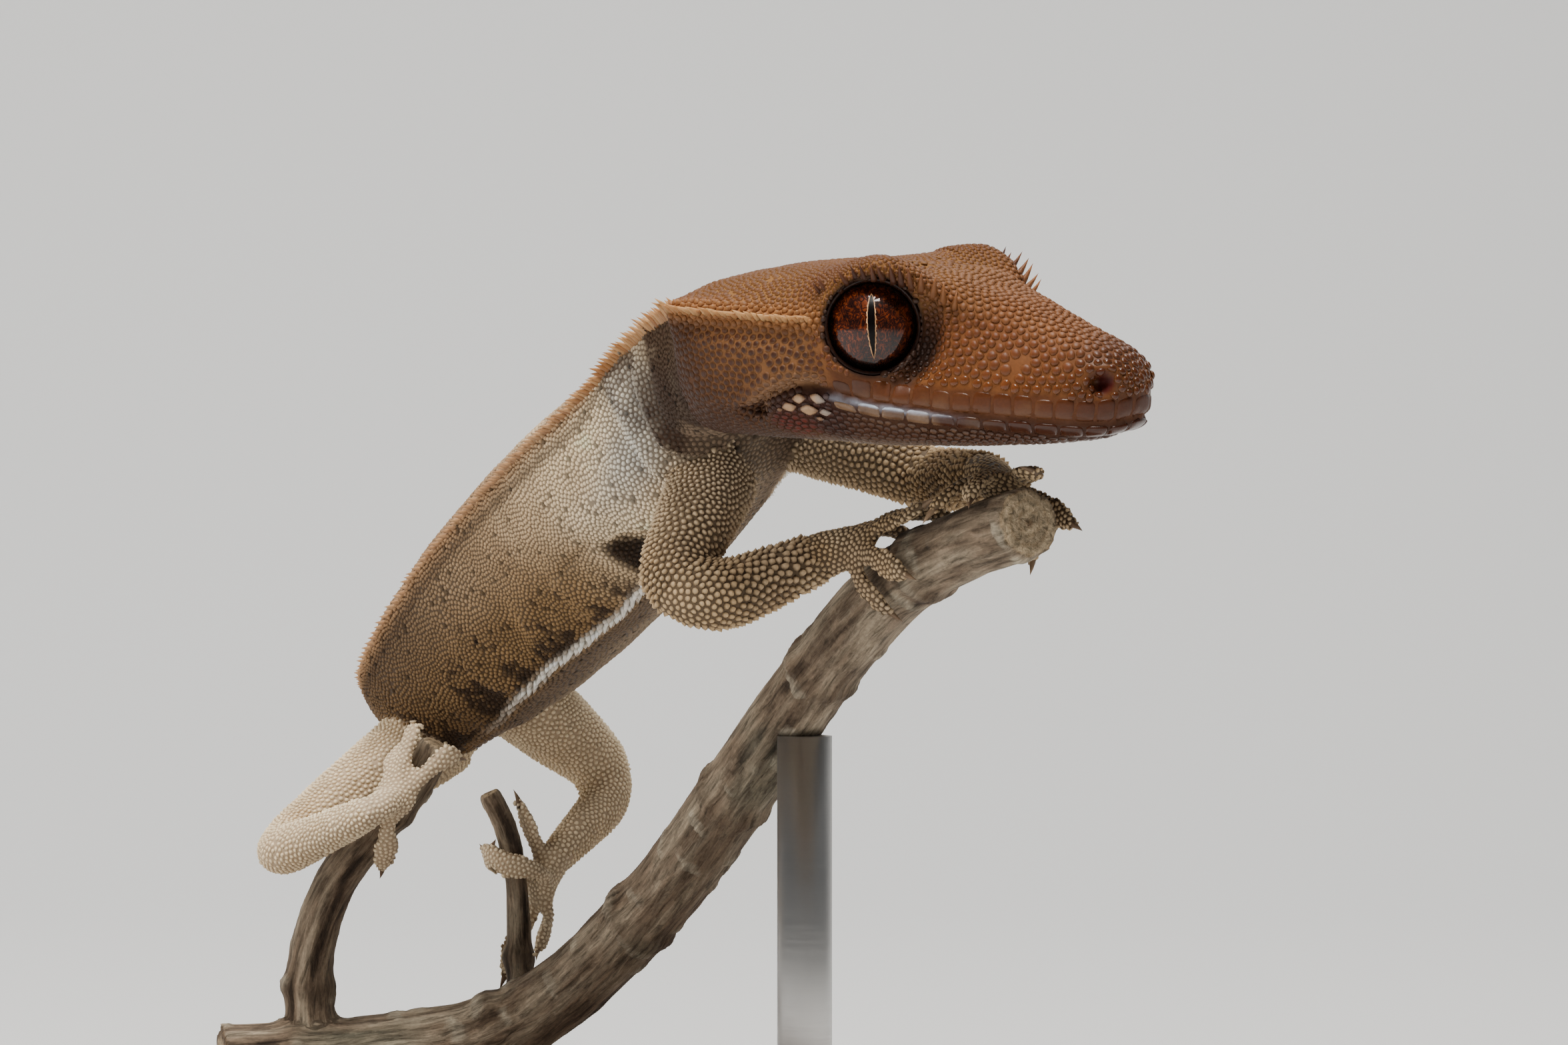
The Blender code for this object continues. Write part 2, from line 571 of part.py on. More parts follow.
def make_stand():
    bm = bmesh.new()
    bmesh.ops.create_cone(bm, cap_ends=True, segments=40, radius1=BASE_RADIUS, radius2=BASE_RADIUS,
                          depth=BASE_THICK)
    top = [e for e in bm.edges if all(v.co.z > 0 for v in e.verts)]
    bmesh.ops.bevel(bm, geom=top, offset=2.0, affect="EDGES", segments=2, profile=0.5, material=-1)
    middle = BASE_CENTRE + Vector((0, 0, BASE_TOP_Z - BASE_THICK / 2))
    bmesh.ops.translate(bm, verts=bm.verts, vec=middle)
    bmesh.ops.triangulate(bm, faces=bm.faces)
    place(to_mesh(bm, "stand_base"), "stand_base", BASE_WOOD)
    for number, (x, y) in enumerate(ROD_SPOTS):
        points = [Vector(p) for p in BRANCH_LINE]
        near = min((spline(points, k * 0.01) for k in range(800)),
                   key=lambda p: (p.x - x)**2 + (p.y - y)**2)
        bm = bmesh.new()
        low = BASE_TOP_Z + GAP
        bmesh.ops.create_cone(bm, cap_ends=True, segments=16, radius1=ROD_RADIUS,
                              radius2=ROD_RADIUS, depth=near.z - low)
        bmesh.ops.translate(bm, verts=bm.verts, vec=(near.x, near.y, (near.z + low) / 2))
        bmesh.ops.triangulate(bm, faces=bm.faces)
        name = "stand_rod_rear" if number == 0 else "stand_rod_front"
        rod = place(to_mesh(bm, name), name, ROD_STEEL)
        boolean(rod, [tube_mesh(BRANCH_LINE, BRANCH_RADII, GAP)], "DIFFERENCE")


# Limbs
def bend(points, radius, step=1.2):
    """Points along a bent line whose corners are rounded, a step apart, with the corners' places."""
    run = [points[0]]
    marks = []
    for before, corner, after in zip(points, points[1:], points[2:]):
        back = (before - corner).normalized()
        ahead = (after - corner).normalized()
        half = math.acos(max(-1.0, min(1.0, back.dot(ahead)))) / 2
        reach = min(radius / math.tan(half), (before - corner).length * 0.48,
                    (after - corner).length * 0.48)
        size = reach * math.tan(half)
        centre = corner + (back + ahead).normalized() * (size / math.sin(half))
        first = corner + back * reach - centre
        last = corner + ahead * reach - centre
        steps = 6
        for k in range(steps):
            share = k / (steps - 1)
            angle = first.angle(last)
            point = (first * math.sin((1 - share) * angle) + last * math.sin(share * angle))
            run.append(centre + point / math.sin(angle))
        marks.append(len(run) - 1 - steps // 2)
    run.append(points[-1])
    return run, marks


def filled(run, marks, step):
    """Adds points on the straight lengths, and keeps count of the marked ones."""
    out = []
    kept = []
    for i, point in enumerate(run[:-1]):
        if i in marks:
            kept.append(len(out))
        out.append(point)
        length = (run[i + 1] - point).length
        extra = int(length / step)
        for k in range(1, extra + 1):
            out.append(point.lerp(run[i + 1], k / (extra + 1)))
    out.append(run[-1])
    return out, kept


def limb_rings(run, radii, flat, count=10):
    total = [0.0]
    for a, b in zip(run, run[1:]):
        total.append(total[-1] + (b - a).length)
    up = Vector((0.1, 0.2, 1.0))
    rings = []
    sizes = [Vector((r, 0)) for r in radii]
    for i, at in enumerate(run):
        low = run[max(i - 1, 0)]
        high = run[min(i + 1, len(run) - 1)]
        way = (high - low).normalized()
        up = (up - way * up.dot(way)).normalized()
        side = up.cross(way)
        share = total[i] / total[-1]
        size = spline(sizes, share * (len(radii) - 1)).x
        squash = 1.0 - flat * share
        rings.append([at + side * size * math.cos(a) + up * size * squash * math.sin(a)
                      for a in (2 * math.pi * k / count for k in range(count))])
    return rings


def shifted(ring, run, i, amount):
    way = (run[min(i + 1, len(run) - 1)] - run[max(i - 1, 0)]).normalized()
    return [point + way * amount for point in ring]


class Wood:
    """A length of branch that a foot holds: its middle line, thickness and directions."""

    def __init__(self, line, radii):
        self.points = [Vector(p) for p in line]
        self.sizes = [Vector((r, 0)) for r in radii]
        self.marks = [0.0]
        self.spots = spread(0.0, len(line) - 1, 400)
        for a, b in zip(self.spots, self.spots[1:]):
            step = (spline(self.points, b) - spline(self.points, a)).length
            self.marks.append(self.marks[-1] + step)

    def at(self, along):
        t = float(np.interp(along, self.marks, self.spots))
        return spline(self.points, t), slope(self.points, t), spline(self.sizes, t).x

    def near(self, spot):
        best = min(range(400), key=lambda k: (spline(self.points, self.spots[k]) - spot).length)
        return self.marks[best]

    def on(self, along, turn, lift, zero):
        """A point on the wood's surface and its outward direction; turn is round the wood."""
        at, way, radius = self.at(along)
        first = (zero - way * zero.dot(way)).normalized()
        second = way.cross(first)
        out = first * math.cos(turn) + second * math.sin(turn)
        return at + out * (radius + lift), out


BRANCH = Wood(BRANCH_LINE, BRANCH_RADII)
SHOOT_A = Wood(SHOOT_A_LINE, SHOOT_A_RADII)
SHOOT_B = Wood(SHOOT_B_LINE, SHOOT_B_RADII)


def toe_mesh(wood, palm, zero, way, length, roll):
    """One toe with its broad pad and its claw, lying on the wood. way is (along, round)."""
    rings = []
    count = 6
    steps = 6
    radius = wood.at(palm)[2]
    places = []
    for k in range(steps + 1):
        share = k / steps
        reach = 0.7 + (length - 0.7) * share
        arch = 0.55 * math.sin(math.pi * min(1.0, share * 1.6)) * (1 - share)
        lift = GAP + 0.12 + TOE_THICK / 2 + arch + roll * 0.15
        turn = way[1] * reach / (radius + lift)
        places.append((*wood.on(palm + way[0] * reach, turn, lift, zero), share))
    for k, (at, out, share) in enumerate(places):
        low = places[max(k - 1, 0)][0]
        high = places[min(k + 1, steps)][0]
        along = (high - low).normalized()
        out = (out - along * out.dot(along)).normalized()
        side = out.cross(along)
        pad = math.exp(-((share - 0.66) / 0.24) ** 2)
        wide = 0.62 + 0.62 * pad * min(1.0, length / 7.0)
        thick = TOE_THICK / 2 * (1.12 - 0.25 * pad)
        if share > 0.93:
            wide *= 0.6
            thick *= 0.8
        rings.append([at + side * wide * math.cos(a) + out * thick * math.sin(a)
                      for a in (2 * math.pi * j / count + roll for j in range(count))])
    toe = to_mesh(loft(rings), "toe")
    tip, out, share = places[-1]
    along = (tip - places[-2][0]).normalized()
    claw = bmesh.new()
    bmesh.ops.create_cone(claw, cap_ends=True, segments=4, radius1=0.30, radius2=0.06, depth=1.5)
    aim = (along + out * 0.25).normalized()
    turn = aim.to_track_quat("Z", "Y").to_matrix().to_4x4()
    bmesh.ops.transform(claw, matrix=Matrix.Translation(tip + aim * 0.3 + out * 0.05) @ turn,
                        verts=claw.verts)
    return [toe, to_mesh(claw, "claw")]


def make_limb(names, joints, radii, wood, ahead, toes, ways, palm_size, lean):
    """A whole limb from inside the body to its toes, parted at the middle joint and the wrist."""
    root, middle, wrist = joints
    along = wood.near(wrist) + ahead
    at, way, radius = wood.at(along)
    zero = wrist - at + lean
    lift = GAP + palm_size * 0.5
    palm, out = wood.on(along, 0.0, lift, zero)
    hold = wood.on(along, 0.0, lift + 0.25, zero)[0]
    run, marks = bend([root, middle, wrist, hold], 3.1)
    run, kept = filled(run, marks, 2.2)
    rings = limb_rings(run, radii, 0.30)
    first, second = kept
    upper = rings[:first + 1]
    upper[-1] = shifted(upper[-1], run, first, -GAP / 2)
    lower = rings[first:second + 1]
    lower[0] = shifted(lower[0], run, first, GAP / 2)
    lower[-1] = shifted(lower[-1], run, second, -GAP / 2)
    last = rings[second:]
    last[0] = shifted(last[0], run, second, GAP / 2)
    core = body_core(GAP)
    obj = place(to_mesh(loft(upper), names[0]), names[0], LIMB_SKIN)
    boolean(obj, [core], "DIFFERENCE")
    place(to_mesh(loft(lower), names[1]), names[1], LIMB_SKIN)
    hand = place(to_mesh(loft(last), names[2]), names[2], LIMB_SKIN)
    side = way.cross(out).normalized()
    axes = Matrix((side, way, out)).transposed().to_4x4()
    pieces = [ball(palm, 1.0, (palm_size, palm_size * 1.1, palm_size * 0.46), axes, 10, 6)]
    for number, (toe, angle) in enumerate(zip(toes, ways)):
        aim = (math.cos(angle), math.sin(angle))
        pieces += toe_mesh(wood, along, zero, aim, toe, 0.11 * (number + 1))
    boolean(hand, pieces, "UNION", "MANIFOLD")


def fan(*degrees):
    return [math.radians(d) for d in degrees]


make_head()
body_length("neck", NECK_ENDS, BODY_SKIN, 8, NECK_SPINES)
body_length("chest", CHEST_ENDS, BODY_SKIN, 9, CHEST_SPINES)
body_length("belly", BELLY_ENDS, BODY_SKIN, 9, BELLY_SPINES)
body_length("hips", HIP_ENDS, BODY_SKIN, 10, HIP_SPINES)
make_tail()
make_branch()
make_stand()
make_limb(("upper_arm_right", "forearm_right", "hand_right"), RIGHT_ARM, ARM_RADII, BRANCH, 2.0,
          HAND_TOES, fan(-100, -55, -12, 32, 78), 2.0, Vector((0, 0, 1.5)))
make_limb(("upper_arm_left", "forearm_left", "hand_left"), LEFT_ARM, ARM_RADII, BRANCH, 4.2,
          HAND_TOES, fan(100, 55, 12, -32, -78), 2.0, Vector((0, 0, 1.0)))
make_limb(("thigh_right", "shin_right", "foot_right"), RIGHT_LEG, LEG_RADII, SHOOT_A, 1.0,
          FOOT_TOES, fan(-150, -60, -20, 22, 150), 1.8, Vector((0, 0, 0)))
make_limb(("thigh_left", "shin_left", "foot_left"), LEFT_LEG, LEG_RADII, SHOOT_B, -2.0,
          FOOT_TOES, fan(-150, 150, -62, 58, 0), 1.7, Vector((0, 0, 0)))
for mesh in list(bpy.data.meshes):
    if mesh.users == 0:
        bpy.data.meshes.remove(mesh)
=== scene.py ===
"""A crested gecko on a cut branch, life size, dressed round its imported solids."""
import math

import bmesh
import bpy
import numpy as np
from mathutils import Matrix, Vector
from mathutils.bvhtree import BVHTree
from mathutils.kdtree import KDTree


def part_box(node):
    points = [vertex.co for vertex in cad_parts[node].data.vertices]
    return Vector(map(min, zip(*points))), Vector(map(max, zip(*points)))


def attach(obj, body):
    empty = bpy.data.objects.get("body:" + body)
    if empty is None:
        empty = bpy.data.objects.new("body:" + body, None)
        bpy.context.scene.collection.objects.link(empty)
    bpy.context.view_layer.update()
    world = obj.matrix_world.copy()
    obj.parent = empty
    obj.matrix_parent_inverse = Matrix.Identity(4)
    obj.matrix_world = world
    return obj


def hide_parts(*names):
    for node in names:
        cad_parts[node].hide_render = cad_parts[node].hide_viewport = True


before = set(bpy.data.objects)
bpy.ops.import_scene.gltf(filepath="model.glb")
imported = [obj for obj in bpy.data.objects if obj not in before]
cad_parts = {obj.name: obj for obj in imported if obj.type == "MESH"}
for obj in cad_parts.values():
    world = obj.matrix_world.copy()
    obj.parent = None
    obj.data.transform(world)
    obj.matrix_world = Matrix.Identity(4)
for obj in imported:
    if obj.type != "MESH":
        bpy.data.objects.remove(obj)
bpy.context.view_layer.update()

# Room. A seamless pale sheet, flat under the stand and curving up behind it, with a soft box high in
# front, a wide softer one on the left, and one for the sheet behind. The camera is level with the
# shoulders and looks straight at the animal's right side.


def mesh_from(bm, name):
    """The bmesh as a new mesh of this name, after which the bmesh is freed."""
    mesh = bpy.data.meshes.new(name)
    bm.to_mesh(mesh)
    bm.free()
    return mesh


def shade_smooth(mesh):
    mesh.polygons.foreach_set("use_smooth", np.ones(len(mesh.polygons), bool))


SHEET_HALF = 1.6
SHEET_BEND = 0.34
sheet = bmesh.new()
edge = [sheet.verts.new((-SHEET_HALF, y, 0.0)) for y in (-1.2, SHEET_BEND)]
sheet.edges.new(edge)
turned = bmesh.ops.spin(sheet, geom=[edge[1]], cent=(-SHEET_HALF, SHEET_BEND, 0.35), axis=(1, 0, 0),
                        angle=math.pi / 2, steps=16)
top = [v for v in turned["geom_last"] if isinstance(v, bmesh.types.BMVert)]
bmesh.ops.extrude_vert_indiv(sheet, verts=top)
sheet.verts.ensure_lookup_table()
sheet.verts[-1].co.z = 1.7
wide = bmesh.ops.extrude_edge_only(sheet, edges=list(sheet.edges))["geom"]
bmesh.ops.translate(sheet, verts=[v for v in wide if isinstance(v, bmesh.types.BMVert)],
                    vec=(2 * SHEET_HALF, 0, 0))
bmesh.ops.recalc_face_normals(sheet, faces=list(sheet.faces))
sheet_mesh = mesh_from(sheet, "room_sheet")
shade_smooth(sheet_mesh)
room = bpy.data.objects.new("room_sheet", sheet_mesh)
bpy.context.collection.objects.link(room)
paper = bpy.data.materials.new("pale_paper")
paper.use_nodes = True
paper_shader = paper.node_tree.nodes["Principled BSDF"]
paper_shader.inputs["Base Color"].default_value = (0.78, 0.78, 0.77, 1)
paper_shader.inputs["Roughness"].default_value = 0.95
room.data.materials.append(paper)

for name, place, aim, size, power, colour in (
        ("overhead", (0.05, -0.25, 0.58), (0.0, 0.0, 0.06), 0.18, 3.4, (1.0, 0.955, 0.89)),
        ("left_box", (-0.54, -0.28, 0.50), (-0.01, 0.0, 0.05), 0.36, 4.2, (1.0, 0.975, 0.94)),
        ("wall_box", (0.0, 0.20, 1.25), (0.0, 0.66, 0.0), 0.7, 9.0, (1.0, 1.0, 1.0))):
    lamp = bpy.data.lights.new(name, "AREA")
    lamp.size = size
    lamp.energy = power
    lamp.color = colour
    light = bpy.data.objects.new(name, lamp)
    light.location = place
    light.rotation_euler = (Vector(aim) - Vector(place)).to_track_quat("-Z", "Y").to_euler()
    light.visible_glossy = name != "left_box"
    bpy.context.collection.objects.link(light)
world = bpy.data.worlds.new("studio")
world.use_nodes = True
world.node_tree.nodes["Background"].inputs["Color"].default_value = (0.86, 0.89, 0.93, 1)
world.node_tree.nodes["Background"].inputs["Strength"].default_value = 0.11
bpy.context.scene.world = world

lens = bpy.data.cameras.new("view")
lens.sensor_width = 36.0
lens.lens = 95.05
lens.clip_start = 0.01
camera = bpy.data.objects.new("view", lens)
camera.location = (0.009, -0.312, 0.061)
camera.rotation_euler = (math.pi / 2, 0, 0)
bpy.context.collection.objects.link(camera)
bpy.context.scene.camera = camera

# Skin. One closed surface over all of the flesh: the solids of head, trunk, limbs and tail grown
# together, evened out, and given the line of the mouth, the edge of the cheek, nostrils, ear openings,
# and folds behind the jaw and at the shoulder. Lengths are in millimetres and match the solids.
SHIFT = np.array((9.0, -42.0, 61.0))
HEAD_AT = np.array((-3.6, 14.8, 11.3)) + SHIFT
HEAD_FORWARD = np.array((0.855, -0.508, -0.100))
HEAD_FORWARD /= np.linalg.norm(HEAD_FORWARD)
HEAD_UP = np.array((0.026, -0.150, 0.988))
HEAD_UP -= HEAD_FORWARD * (HEAD_UP @ HEAD_FORWARD)
HEAD_UP /= np.linalg.norm(HEAD_UP)
HEAD_RIGHT = np.cross(HEAD_FORWARD, HEAD_UP)
EYE_AT = np.array((14.1, 5.35, 3.6))
GAZE = np.array((0.51, 0.85, 0.14))
NOSTRIL = (29.9, 1.0)
TRUNK_LINE = np.array(((-3.6, 14.8, 11.3), (-4.6, 20.4, 10.9), (-5.9, 26.5, 8.6), (-9.4, 36.0, 5.2),
                       (-13.8, 46.5, 1.2), (-20.0, 57.0, -5.0), (-26.2, 66.0, -11.8),
                       (-28.8, 74.0, -15.0))) + SHIFT
TRUNK_WAYS = np.array((HEAD_FORWARD, (0.62, -0.78, 0.10), (0.36, -0.86, 0.36), (0.37, -0.84, 0.39),
                       (0.41, -0.80, 0.43), (0.46, -0.75, 0.48), (0.40, -0.82, 0.42),
                       (-0.08, -0.99, 0.03)))
TRUNK_BACKS = np.array((HEAD_UP, (-0.30, -0.06, 0.95), (-0.60, 0.08, 0.79), (-0.66, 0.10, 0.73),
                        (-0.69, 0.126, 0.705), (-0.70, 0.12, 0.70), (-0.69, 0.10, 0.71),
                        (-0.60, 0.05, 0.80)))
CREST = np.array(((6.2, 3.7), (5.7, 3.8), (7.5, 5.1), (8.9, 6.0), (9.2, 6.2), (8.8, 6.1),
                  (7.2, 5.1), (3.6, 2.7)))
FOLD = np.array(((5.6, -3.0), (5.8, -3.4), (7.5, -4.9), (8.7, -6.0), (9.3, -6.4), (8.5, -6.1),
                 (6.2, -4.9), (3.4, -2.8)))
PARTS = {
    "head": ("head", "jaw"), "trunk": ("neck", "chest", "belly", "hips"),
    "tail": ("tail_root", "tail_tip"),
    "arm_right": ("upper_arm_right", "forearm_right"),
    "arm_left": ("upper_arm_left", "forearm_left"),
    "leg_right": ("thigh_right", "shin_right"), "leg_left": ("thigh_left", "shin_left"),
    "hand_right": ("hand_right",), "hand_left": ("hand_left",),
    "foot_right": ("foot_right",), "foot_left": ("foot_left",),
}
PART_NAMES = list(PARTS)
HEAD_PART = PART_NAMES.index("head")
TRUNK_PART = PART_NAMES.index("trunk")
FLESH = [node for nodes in PARTS.values() for node in nodes]


def run_through(keys, t):
    """The smooth curve through rows of keys at many places t, counted in rows."""
    keys = np.asarray(keys, float)
    last = len(keys) - 1
    t = np.clip(np.asarray(t, float), 0, last)
    i = np.minimum(t.astype(int), last - 1)
    u = (t - i)[:, None]
    padded = np.vstack((keys[0] * 2 - keys[1], keys, keys[-1] * 2 - keys[-2]))
    a, b = padded[i + 1], padded[i + 2]
    lean_a, lean_b = (b - padded[i]) * 0.5, (padded[i + 3] - a) * 0.5
    return (a * (2 * u**3 - 3 * u**2 + 1) + lean_a * (u**3 - 2 * u**2 + u)
            + b * (-2 * u**3 + 3 * u**2) + lean_b * (u**3 - u**2))


def unit(v):
    return v / np.maximum(np.linalg.norm(v, axis=-1, keepdims=True), 1e-9)


def dot(a, b):
    return np.einsum("ij,ij->i", a, b)


def head_place(points):
    """Millimetres forward, right and up from the back of the skull, as the head is turned."""
    away = points - HEAD_AT
    return away @ HEAD_FORWARD, away @ HEAD_RIGHT, away @ HEAD_UP


def along_line(points, line, steps):
    """For each point, the nearest place on a smooth line, in keys, with that place itself."""
    spots = np.linspace(0, len(line) - 1, steps)
    places = run_through(line, spots)
    tree = KDTree(steps)
    for k, place in enumerate(places):
        tree.insert(place, k)
    tree.balance()
    best = np.array([tree.find(p)[1] for p in points], int)
    return spots[best], places[best]


def trunk_place(points):
    """Place along the trunk in stations, then sideways and upwards from its middle line."""
    t, at = along_line(points, TRUNK_LINE, 240)
    ways = unit(run_through(TRUNK_WAYS, t))
    backs = run_through(TRUNK_BACKS, t)
    backs = unit(backs - ways * dot(ways, backs)[:, None])
    side = np.cross(ways, backs)
    away = points - at
    return t, dot(away, side), dot(away, backs), ways, side, backs


GRAIN = np.random.default_rng(11).random((32, 32, 32))
TWIST = np.array(Matrix.Rotation(0.9, 3, Vector((0.4, 0.7, 0.6)).normalized()))


def cloudy(points, size, octaves=3, seed=0):
    """Soft noise from 0 to 1 whose largest patches are about size millimetres."""
    total = np.zeros(len(points))
    weight = 1.0
    whole = 0.0
    for octave in range(octaves):
        points = points @ TWIST
        q = points / size * 2.0**octave + seed * 7.31 + octave * 3.7
        i = np.floor(q).astype(int)
        f = q - i
        f = f * f * (3 - 2 * f)
        value = 0.0
        for corner in np.ndindex(2, 2, 2):
            j = (i + corner) % 32
            share = np.prod(np.where(np.array(corner) == 1, f, 1 - f), axis=1)
            value = value + GRAIN[j[:, 0], j[:, 1], j[:, 2]] * share
        total += value * weight
        whole += weight
        weight *= 0.5
    return total / whole


def ramp(x, low, high):
    x = np.clip((x - low) / (high - low), 0, 1)
    return x * x * (3 - 2 * x)


def bump(x, middle, width):
    return np.exp(-((x - middle) / width) ** 2)


MOUTH_LINE = np.array(((9.4, 0.1), (10.6, -0.15), (12.2, -0.45), (14.2, -0.8), (16.2, -1.05),
                       (18.4, -1.2), (20.4, -1.35), (23.0, -1.45), (26.0, -1.55), (28.4, -1.6),
                       (30.0, -1.6), (31.0, -1.5), (31.6, -1.25)))
CHEEK_EDGE = np.array(((6.0, -2.6), (7.3, -1.84), (8.6, -0.8), (10.5, -0.07), (12.0, 0.1)))
GROWTH = 0.17


def height_on(line, s):
    """How high a line on the side of the head lies, s millimetres forward."""
    return np.interp(s, line[:, 0], line[:, 1])


def nodes_in_mm(names, grow=0.0):
    """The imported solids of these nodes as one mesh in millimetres, made fatter by grow."""
    bm = bmesh.new()
    for name in names:
        bm.from_mesh(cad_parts[name].data)
    bmesh.ops.remove_doubles(bm, verts=list(bm.verts), dist=1e-6)
    bmesh.ops.scale(bm, verts=list(bm.verts), vec=(1000, 1000, 1000))
    bm.normal_update()
    for vert, normal in [(v, v.normal.copy()) for v in bm.verts]:
        vert.co += normal * grow
    return bm


def arrays_of(mesh):
    points = np.empty(len(mesh.vertices) * 3)
    mesh.vertices.foreach_get("co", points)
    edges = np.empty(len(mesh.edges) * 2, int)
    mesh.edges.foreach_get("vertices", edges)
    return points.reshape(-1, 3), edges.reshape(-1, 2)


def relaxed(points, edges, amount, rounds=1):
    """Each point moved towards the middle of its neighbours by a share, for some rounds."""
    ends = np.concatenate((edges[:, 0], edges[:, 1]))
    others = np.concatenate((edges[:, 1], edges[:, 0]))
    count = np.bincount(ends, minlength=len(points))
    for _ in range(rounds):
        middle = np.stack([np.bincount(ends, points[others, k], len(points)) for k in range(3)], 1)
        middle /= np.maximum(count, 1)[:, None]
        points = points + (middle - points) * np.asarray(amount).reshape(-1, 1)
    return points


def evened(bm, name, size):
    """The bmesh wrapped in one even net of squares of about this size, as a mesh."""
    rough_mesh = mesh_from(bm, name)
    rough = bpy.data.objects.new(name, rough_mesh)
    bpy.context.collection.objects.link(rough)
    even = rough.modifiers.new("even", "REMESH")
    even.mode = "VOXEL"
    even.voxel_size = size
    mesh = bpy.data.meshes.new_from_object(rough.evaluated_get(bpy.context.evaluated_depsgraph_get()))
    bpy.data.objects.remove(rough)
    bpy.data.meshes.remove(rough_mesh)
    return mesh


even_mesh = evened(nodes_in_mm(FLESH, GROWTH), "skin_rough", 0.385)
crumbs = bmesh.new()
crumbs.from_mesh(even_mesh)
crumbs.verts.ensure_lookup_table()
island = np.zeros(len(crumbs.verts), int)
for first in crumbs.verts:
    if island[first.index]:
        continue
    label = island.max() + 1
    island[first.index] = label
    waiting = [first]
    while waiting:
        for edge in waiting.pop().link_edges:
            for vert in edge.verts:
                if not island[vert.index]:
                    island[vert.index] = label
                    waiting.append(vert)
largest = np.bincount(island).argmax()
loose = [v for v in crumbs.verts if island[v.index] != largest]
bmesh.ops.delete(crumbs, geom=loose, context="VERTS")
crumbs.to_mesh(even_mesh)
crumbs.free()
skin_points, skin_edges = arrays_of(even_mesh)


def part_of(points):
    """Which part of the animal each point lies on, as its number in PART_NAMES."""
    near = np.full(len(points), 1e9)
    best = np.zeros(len(points), int)
    for number, name in enumerate(PART_NAMES):
        bm = nodes_in_mm(PARTS[name])
        tree = BVHTree.FromBMesh(bm)
        box = np.array([v.co for v in bm.verts])
        bm.free()
        close = np.all((points > box.min(0) - 1.5) & (points < box.max(0) + 1.5), axis=1)
        for k in np.flatnonzero(close):
            found = tree.find_nearest(points[k], 2.5)
            if found[3] is not None and found[3] < near[k]:
                near[k] = found[3]
                best[k] = number
    return best


skin_part = part_of(skin_points)
crest_t, crest_x, crest_y, *_ = trunk_place(skin_points)
crest_at = run_through(CREST, crest_t)
on_trunk = skin_part == TRUNK_PART
on_head = skin_part == HEAD_PART
crest_far = np.hypot(np.abs(crest_x) - crest_at[:, 0], crest_y - crest_at[:, 1])
s, r, u = head_place(skin_points)
ridge_far = np.hypot(np.abs(r) - 9.5, u - 4.0)
brow_far = np.hypot(np.abs(r) - 7.0, u - 8.0)
spiny = ramp(-crest_far, -2.2, -1.2) * on_trunk
spiny = np.maximum(spiny, ramp(-ridge_far, -1.6, -0.9) * on_head * (s < 12.5))
spiny = np.maximum(spiny, ramp(-brow_far, -1.6, -0.8) * on_head * (s > 11.5) * (s < 19.5))
for _ in range(6):
    skin_points = relaxed(skin_points, skin_edges, 0.5)
    skin_points = relaxed(skin_points, skin_edges, -0.50)
skin_points = relaxed(skin_points, skin_edges, spiny * 0.6, 40)
bend_left = (on_head * ramp(-r, -1.0, 3.0) * ramp(-s, -4.5, -1.0)
             + on_trunk * ramp(-crest_x, 0.5, 3.5) * ramp(-crest_t, -1.15, -0.45))
skin_points = relaxed(skin_points, skin_edges, bend_left * 0.6, 150)
bend_right = (on_head * ramp(r, 1.0, 3.0) * ramp(-s, -3.4, -0.8) * ramp(-u, -3.3, -2.0)
              + on_trunk * ramp(crest_x, 0.5, 3.0) * ramp(-crest_t, -0.95, -0.40)
              * ramp(crest_at[:, 1] - crest_y, 0.6, 1.7))
skin_points = relaxed(skin_points, skin_edges, bend_right * 0.6, 60)
fold_at = run_through(FOLD, crest_t)
fold_far = np.hypot(np.abs(crest_x) - fold_at[:, 0], crest_y - fold_at[:, 1])
belly_rim = on_trunk * ramp(-fold_far, -3.2, -1.0) * ramp(crest_t, 2.5, 3.3)
skin_points = relaxed(skin_points, skin_edges, belly_rim * 0.6, 24)
skin_points = relaxed(skin_points, skin_edges, 0.35, 3)


def with_points(mesh, points):
    """Moves the mesh's points there, and gives back its new normals."""
    mesh.vertices.foreach_set("co", points.astype(np.float32).ravel())
    mesh.update()
    normals = np.empty(len(points) * 3)
    mesh.vertices.foreach_get("normal", normals)
    return normals.reshape(-1, 3)


def eye_place(points):
    """Millimetres from the line an eye looks along, height on it, turn about it, and its side."""
    s, r, u = head_place(points)
    way = np.where(r < 0, -1.0, 1.0)
    away = np.stack((s, np.abs(r), u), 1) - EYE_AT
    gaze = unit(GAZE)
    high = away @ gaze
    flat = away - high[:, None] * gaze
    upward = unit(np.array((0, 0, 1.0)) - gaze * gaze[2])
    forward = np.cross(upward, -gaze) * np.sign(np.cross(upward, -gaze)[0])
    return np.linalg.norm(flat, axis=1), high, np.degrees(np.arctan2(flat @ upward, flat @ forward)), way


far, high, turn, way = eye_place(skin_points)
push = np.maximum(0.0, 3.08 - far) * on_head * (high > 0.4) * (high < 5.0)
s, r, u = head_place(skin_points)
away = np.stack((s, np.abs(r), u), 1) - EYE_AT
gaze = unit(GAZE)
flat = unit(away - (away @ gaze)[:, None] * gaze)
shift = flat * push[:, None]
skin_points = (skin_points + HEAD_FORWARD * shift[:, :1] + HEAD_RIGHT * (shift[:, 1] * way)[:, None]
               + HEAD_UP * shift[:, 2:])
skin_normals = with_points(even_mesh, skin_points)
s, r, u = head_place(skin_points)
side = np.abs(r)
mouth = height_on(MOUTH_LINE, s)
depth = np.full(len(skin_points), GROWTH)
hollow = bump(turn, -25.0, 48.0) * ramp(far, 2.95, 3.3) * ramp(-far, -4.9, -4.0) * (high > 0)
depth += 0.60 * hollow * on_head
